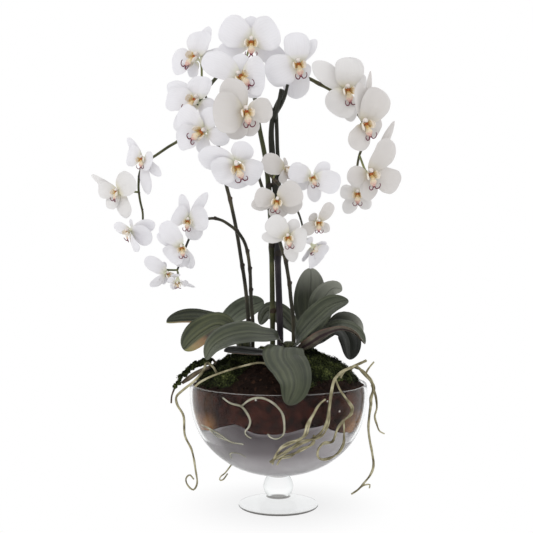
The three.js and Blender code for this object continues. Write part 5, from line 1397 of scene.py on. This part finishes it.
def petal_skin(name, shades):
    """Waxy white skin with faint veins that run from the hub to the edge"""
    material, add = new_material(name)
    own = add("UVMap")
    split = add("SeparateXYZ", {0: own})
    spot = add("TexCoord").outputs["Object"]
    wander = add("TexNoise", {0: spot, "Scale": 1000 / 9, "Detail": 2.0})
    drift = add("Math", {0: wander, 1: 0.14, 2: split.outputs["X"]}, operation="MULTIPLY_ADD")
    stripe = add("Math", {0: drift, 1: PETAL_VEINS * FULL_WAVE}, operation="MULTIPLY")
    vein = add("Math", {0: stripe}, operation="SINE")
    thin = add("MapRange", {"Value": vein, "From Min": 0.4, "From Max": 1.0, "To Max": 0.13})
    heart = add("ValToRGB", {0: split.outputs["Y"]}, stops=zip((0.0, 0.1, 0.28, 1.0), shades))
    veined = add("Mix", {0: thin, 6: heart, 7: "d6d3d8"}, data_type="RGBA")
    relief = add("Math", {0: vein, 1: 0.4, 2: wander}, operation="MULTIPLY_ADD")
    bump = add("Bump", {"Height": relief, "Strength": 0.07, "Distance": 0.5 * MM})
    skin = add("BsdfPrincipled", {"Base Color": veined, "Normal": bump, "Roughness": 0.55,
                                  "Specular IOR Level": 0.3, "Subsurface Weight": 0.25,
                                  "Subsurface Radius": (3 * MM, 3 * MM, 3 * MM), "Subsurface Scale": 1.0})
    add("OutputMaterial", {"Surface": skin})
    return material


petal = petal_skin("white_petal", ("d9dabd", "e3e1d6", "e8e6e9", "ebeaef"))
# Shaded copies for blooms that lie in shade: warm grey and grey tones of painted shade
warm_shaded_petal = petal_skin("white_petal_in_painted_warm_shade", ("d3cfae", "dad5c6", "dedbd8", "e5e3e3"))
shaded_petal = petal_skin("shaded_white_petal", ("c9c2a4", "d0c9bb", "d0cbc6", "d8d4d2"))
print("petal skins", petal.name, warm_shaded_petal.name, shaded_petal.name)

# %% Lip skins
def flesh(name, grain, stripes, *stops):
    """Skin of a part of the lip: colours from root to tip, crimson stripes, broken by spots"""
    material, add = new_material(name)
    own = add("UVMap")
    split = add("SeparateXYZ", {0: own})
    spot = add("TexCoord").outputs["Object"]
    mottle = add("TexNoise", {0: spot, "Scale": 1000 / grain, "Detail": 2.0})
    shift = add("Math", {0: mottle, 1: 0.7, 2: -0.35}, operation="MULTIPLY_ADD")
    place = add("Math", {0: split.outputs["Y"], 1: shift}, operation="ADD")
    shade = add("ValToRGB", {0: place}, stops=stops)
    line = add("Math", {0: split.outputs["X"], 1: 44.0}, operation="MULTIPLY")
    wave = add("Math", {0: line}, operation="SINE")
    fade = add("Math", {0: place, 1: 1.3}, operation="MULTIPLY")
    left = add("Math", {0: wave, 1: fade}, operation="SUBTRACT")
    streak = add("MapRange", {"Value": left, "From Max": 0.5, "To Max": stripes})
    striped = add("Mix", {0: streak, 6: shade, 7: "7e2438"}, data_type="RGBA")
    skin = add("BsdfPrincipled", {"Base Color": striped, "Roughness": 0.45, "Specular IOR Level": 0.4})
    add("OutputMaterial", {"Surface": skin})
    return material


side_lobe = flesh("yellow_striped_side_lobe", 1.6, 0.8,
                  (0.0, "b06a2a"), (0.12, "d2a24c"), (0.3, "e9d596"), (0.55, "f3ece0"))
middle_lobe = flesh("cream_middle_lobe", 2.2, 0.5,
                    (0.0, "b8782c"), (0.2, "dcbf74"), (0.5, "efe3c8"), (0.82, "dcb0a4"), (1.0, "8c2f49"))
callus_skin = flesh("yellow_callus", 1.1, 0.0, (0.0, "a8452a"), (0.06, "c98930"), (0.2, "dcae4a"))
column_skin = flesh("pink_white_column", 2.6, 0.0, (0.0, "e9e2dc"), (0.5, "dcb5b0"), (1.0, "c98f94"))
tendril_skin = flesh("crimson_tendril", 2.0, 0.0, (0.0, "6b1f38"), (1.0, "3f1226"))
LIP_SKINS = [side_lobe, middle_lobe, callus_skin, column_skin, tendril_skin]
print("lip skins", [m.name for m in LIP_SKINS])

# %% Tepals
HUB = 3.6
LAYERS = (0.9, 2.4, -1.2, -2.6, -4)
LIFTS = (2, 6, -4, -7, -10)
PETAL_THICK = 0.8
PETAL_WIDEST = 0.6
SEPAL_WIDEST = 0.56


def tepal(bm, bloom, face, order, seed):
    """One petal (the first two) or sepal, from near the axis to its own tip"""
    aside, upwards, width = bloom["tepals"][order]
    broad = order < 2
    size = bloom["size"]
    centre = Vector(bloom["at"])
    reach = math.hypot(aside, upwards)
    depth = (LIFTS[order] * size - face.x * aside - face.z * upwards) / min(face.y, -0.35)
    depth = min(max(depth, -0.55 * reach), 0.55 * reach)
    tip = centre + Vector((aside, depth, upwards))
    outwards = tip - centre
    outwards = square_to(outwards, face)
    start = centre + outwards * HUB + face * LAYERS[order]
    bow = start.lerp(tip, 0.5) + face * reach * (0.1 if broad else 0.05)
    route = Route([start, bow, tip])
    half = width / 2 * MM
    widest = PETAL_WIDEST if broad else SEPAL_WIDEST
    root, power, point = (0.3, 0.62, 0.85) if broad else (0.3, 0.75, 1.15)
    cup = 0.1 if broad else -0.1
    wave = (5.2 if broad else 3.2) * size * MM

    def place(along, across, side):
        share, part = rounded(along, widest, root, power, point)
        ahead = route.ahead(share)
        up = square_to(face, ahead)
        beside = ahead.cross(up)
        ruffle = noise.noise(Vector((share * 2.6 + seed, across * 1.5, order * 7.1)))
        lift = cup * across * across * half * part + wave * ruffle * abs(across) ** 1.6 * part
        groove = -0.8 * MM * math.exp(-(across / 0.16) ** 2) * (1 - share)
        thick = PETAL_THICK / 2 * MM * lens(along, across)
        scallop = 1 + 0.06 * noise.noise(Vector((share * 5, seed * 2.3, across))) * abs(across)
        rise = lift + groove + side * thick
        return route.point(share) + beside * across * half * part * scallop + up * rise

    blade(bm, 20, 14, place)


# %% Lip and column
LIP_LIFT = 4.5

def lip(bm, bloom, face, seed):
    """Column, callus, side lobes, middle lobe and two curled tendrils"""
    size = bloom["size"]
    centre = Vector(bloom["at"])
    down = Vector((0, 0, -1))
    down = square_to(down, face)
    down = Matrix.Rotation(math.radians(bloom["lip"]), 3, face) @ down
    aside = face.cross(down)

    def at(side, out, low):
        return centre + (aside * side + face * out + down * (low - LIP_LIFT * smooth_step(out / 7))) * size

    column = Route([at(0, 0, -1), at(0, 4, -2.2), at(0, 8, -1.2), at(0, 10.5, 1.4)])
    column_radius = [(0, 2.4), (0.6, 2.9), (0.85, 2.7), (1, 1.2)]
    tube(bm, column, lambda s: profile(column_radius, s) * size * MM, 12, 12, 4)
    ovary = Route([centre - face * STALK_START, centre - face * 3, centre + face * 2])
    tube(bm, ovary, lambda s: (1.5 + 2.6 * smooth_step(s)) * MM, 10, 8, 0)
    for side in (-1, 1):
        bump_ball = bmesh.ops.create_icosphere(bm, subdivisions=2, radius=1)["verts"]
        spot = at(side * 1.3, 7.4, 4.6) * MM
        grown = size * MM
        squash = Matrix.Diagonal((1.5 * grown, 1.5 * grown, 2.3 * grown, 1))
        bmesh.ops.transform(bm, verts=bump_ball, matrix=Matrix.Translation(spot)
                            @ down.to_track_quat("Z", "Y").to_matrix().to_4x4() @ squash)
        for face_made in {f for v in bump_ball for f in v.link_faces}:
            face_made.smooth = True
            face_made.material_index = 3
        lobe = Route([at(side * 2.2, 4.4, 5), at(side * 6.8, 7.5, 6.4), at(side * 9.8, 12, 6),
                      at(side * 8.8, 16, 3.4)])
        curl = Route([at(side * 0.8, 10.6, 22), at(side * 3, 10.4, 26), at(side * 6.6, 11.8, 25.6),
                      at(side * 8.6, 13.6, 21.6), at(side * 7.6, 14.6, 18.8)])

        def lobe_place(along, across, layer, lobe=lobe, side=side):
            share, part = rounded(along, 0.6, 0.4, 1.0)
            ahead = lobe.ahead(share)
            inward = (aside * -side + face * 0.2).normalized()
            up = square_to(inward, ahead)
            beside = ahead.cross(up)
            half = 6.2 * size * MM
            thick = 0.35 * MM * off_rim(along, across)
            rise = across ** 2 * half * 0.35 * part + layer * thick
            return lobe.point(share) + beside * across * half * part + up * rise

        blade(bm, 10, 8, lobe_place, (1, 1))
        tube(bm, curl, lambda s: (0.95 - 0.4 * s) * max(size, 0.75) * MM, 6, 16, 5)
    middle = Route([at(0, 5.2, 4), at(0, 9.6, 8), at(0, 12.2, 15), at(0, 10.6, 24)])
    outline = [(0, 0.5), (0.22, 0.42), (0.4, 0.62), (0.62, 1), (0.78, 0.8), (0.92, 0.34), (1, 0.18)]

    def middle_place(along, across, layer):
        ahead = middle.ahead(along)
        up = square_to(face, ahead)
        beside = ahead.cross(up)
        half = 5.6 * size * MM * profile(outline, along)
        keel = -abs(across) ** 1.3 * half * 0.45
        thick = 0.55 * size * MM * off_rim(along, across)
        return middle.point(along) + beside * across * half + up * (keel + layer * thick)

    blade(bm, 16, 8, middle_place, (2, 2))


# %% Bloom pieces
# Blooms that wear the copies with painted warm shade and painted grey shade
WARM_SHADED_BLOOMS = {"bloom_right_first", "bloom_right_behind", "bloom_centre_low", "bloom_far_left"}
SHADED_BLOOMS = {"bloom_middle", "bloom_centre_front", "bloom_centre_top", "bloom_centre_side",
                 "bloom_right_second", "bloom_right_third"}


def bloom_piece(name, bloom, seed):
    face = facing(bloom["turn"])
    bm = bmesh.new()
    for order in range(5):
        tepal(bm, bloom, face, order, seed)
    lip(bm, bloom, face, seed)
    look = warm_shaded_petal if name in WARM_SHADED_BLOOMS else shaded_petal if name in SHADED_BLOOMS else petal
    return finish(name + "_open", bm, [look, *LIP_SKINS], name)


for seed, (name, bloom) in enumerate(BLOOMS.items()):
    made = bloom_piece(name, bloom, seed * 1.7)
print("blooms", len(BLOOMS), "faces in the last", len(made.data.polygons))
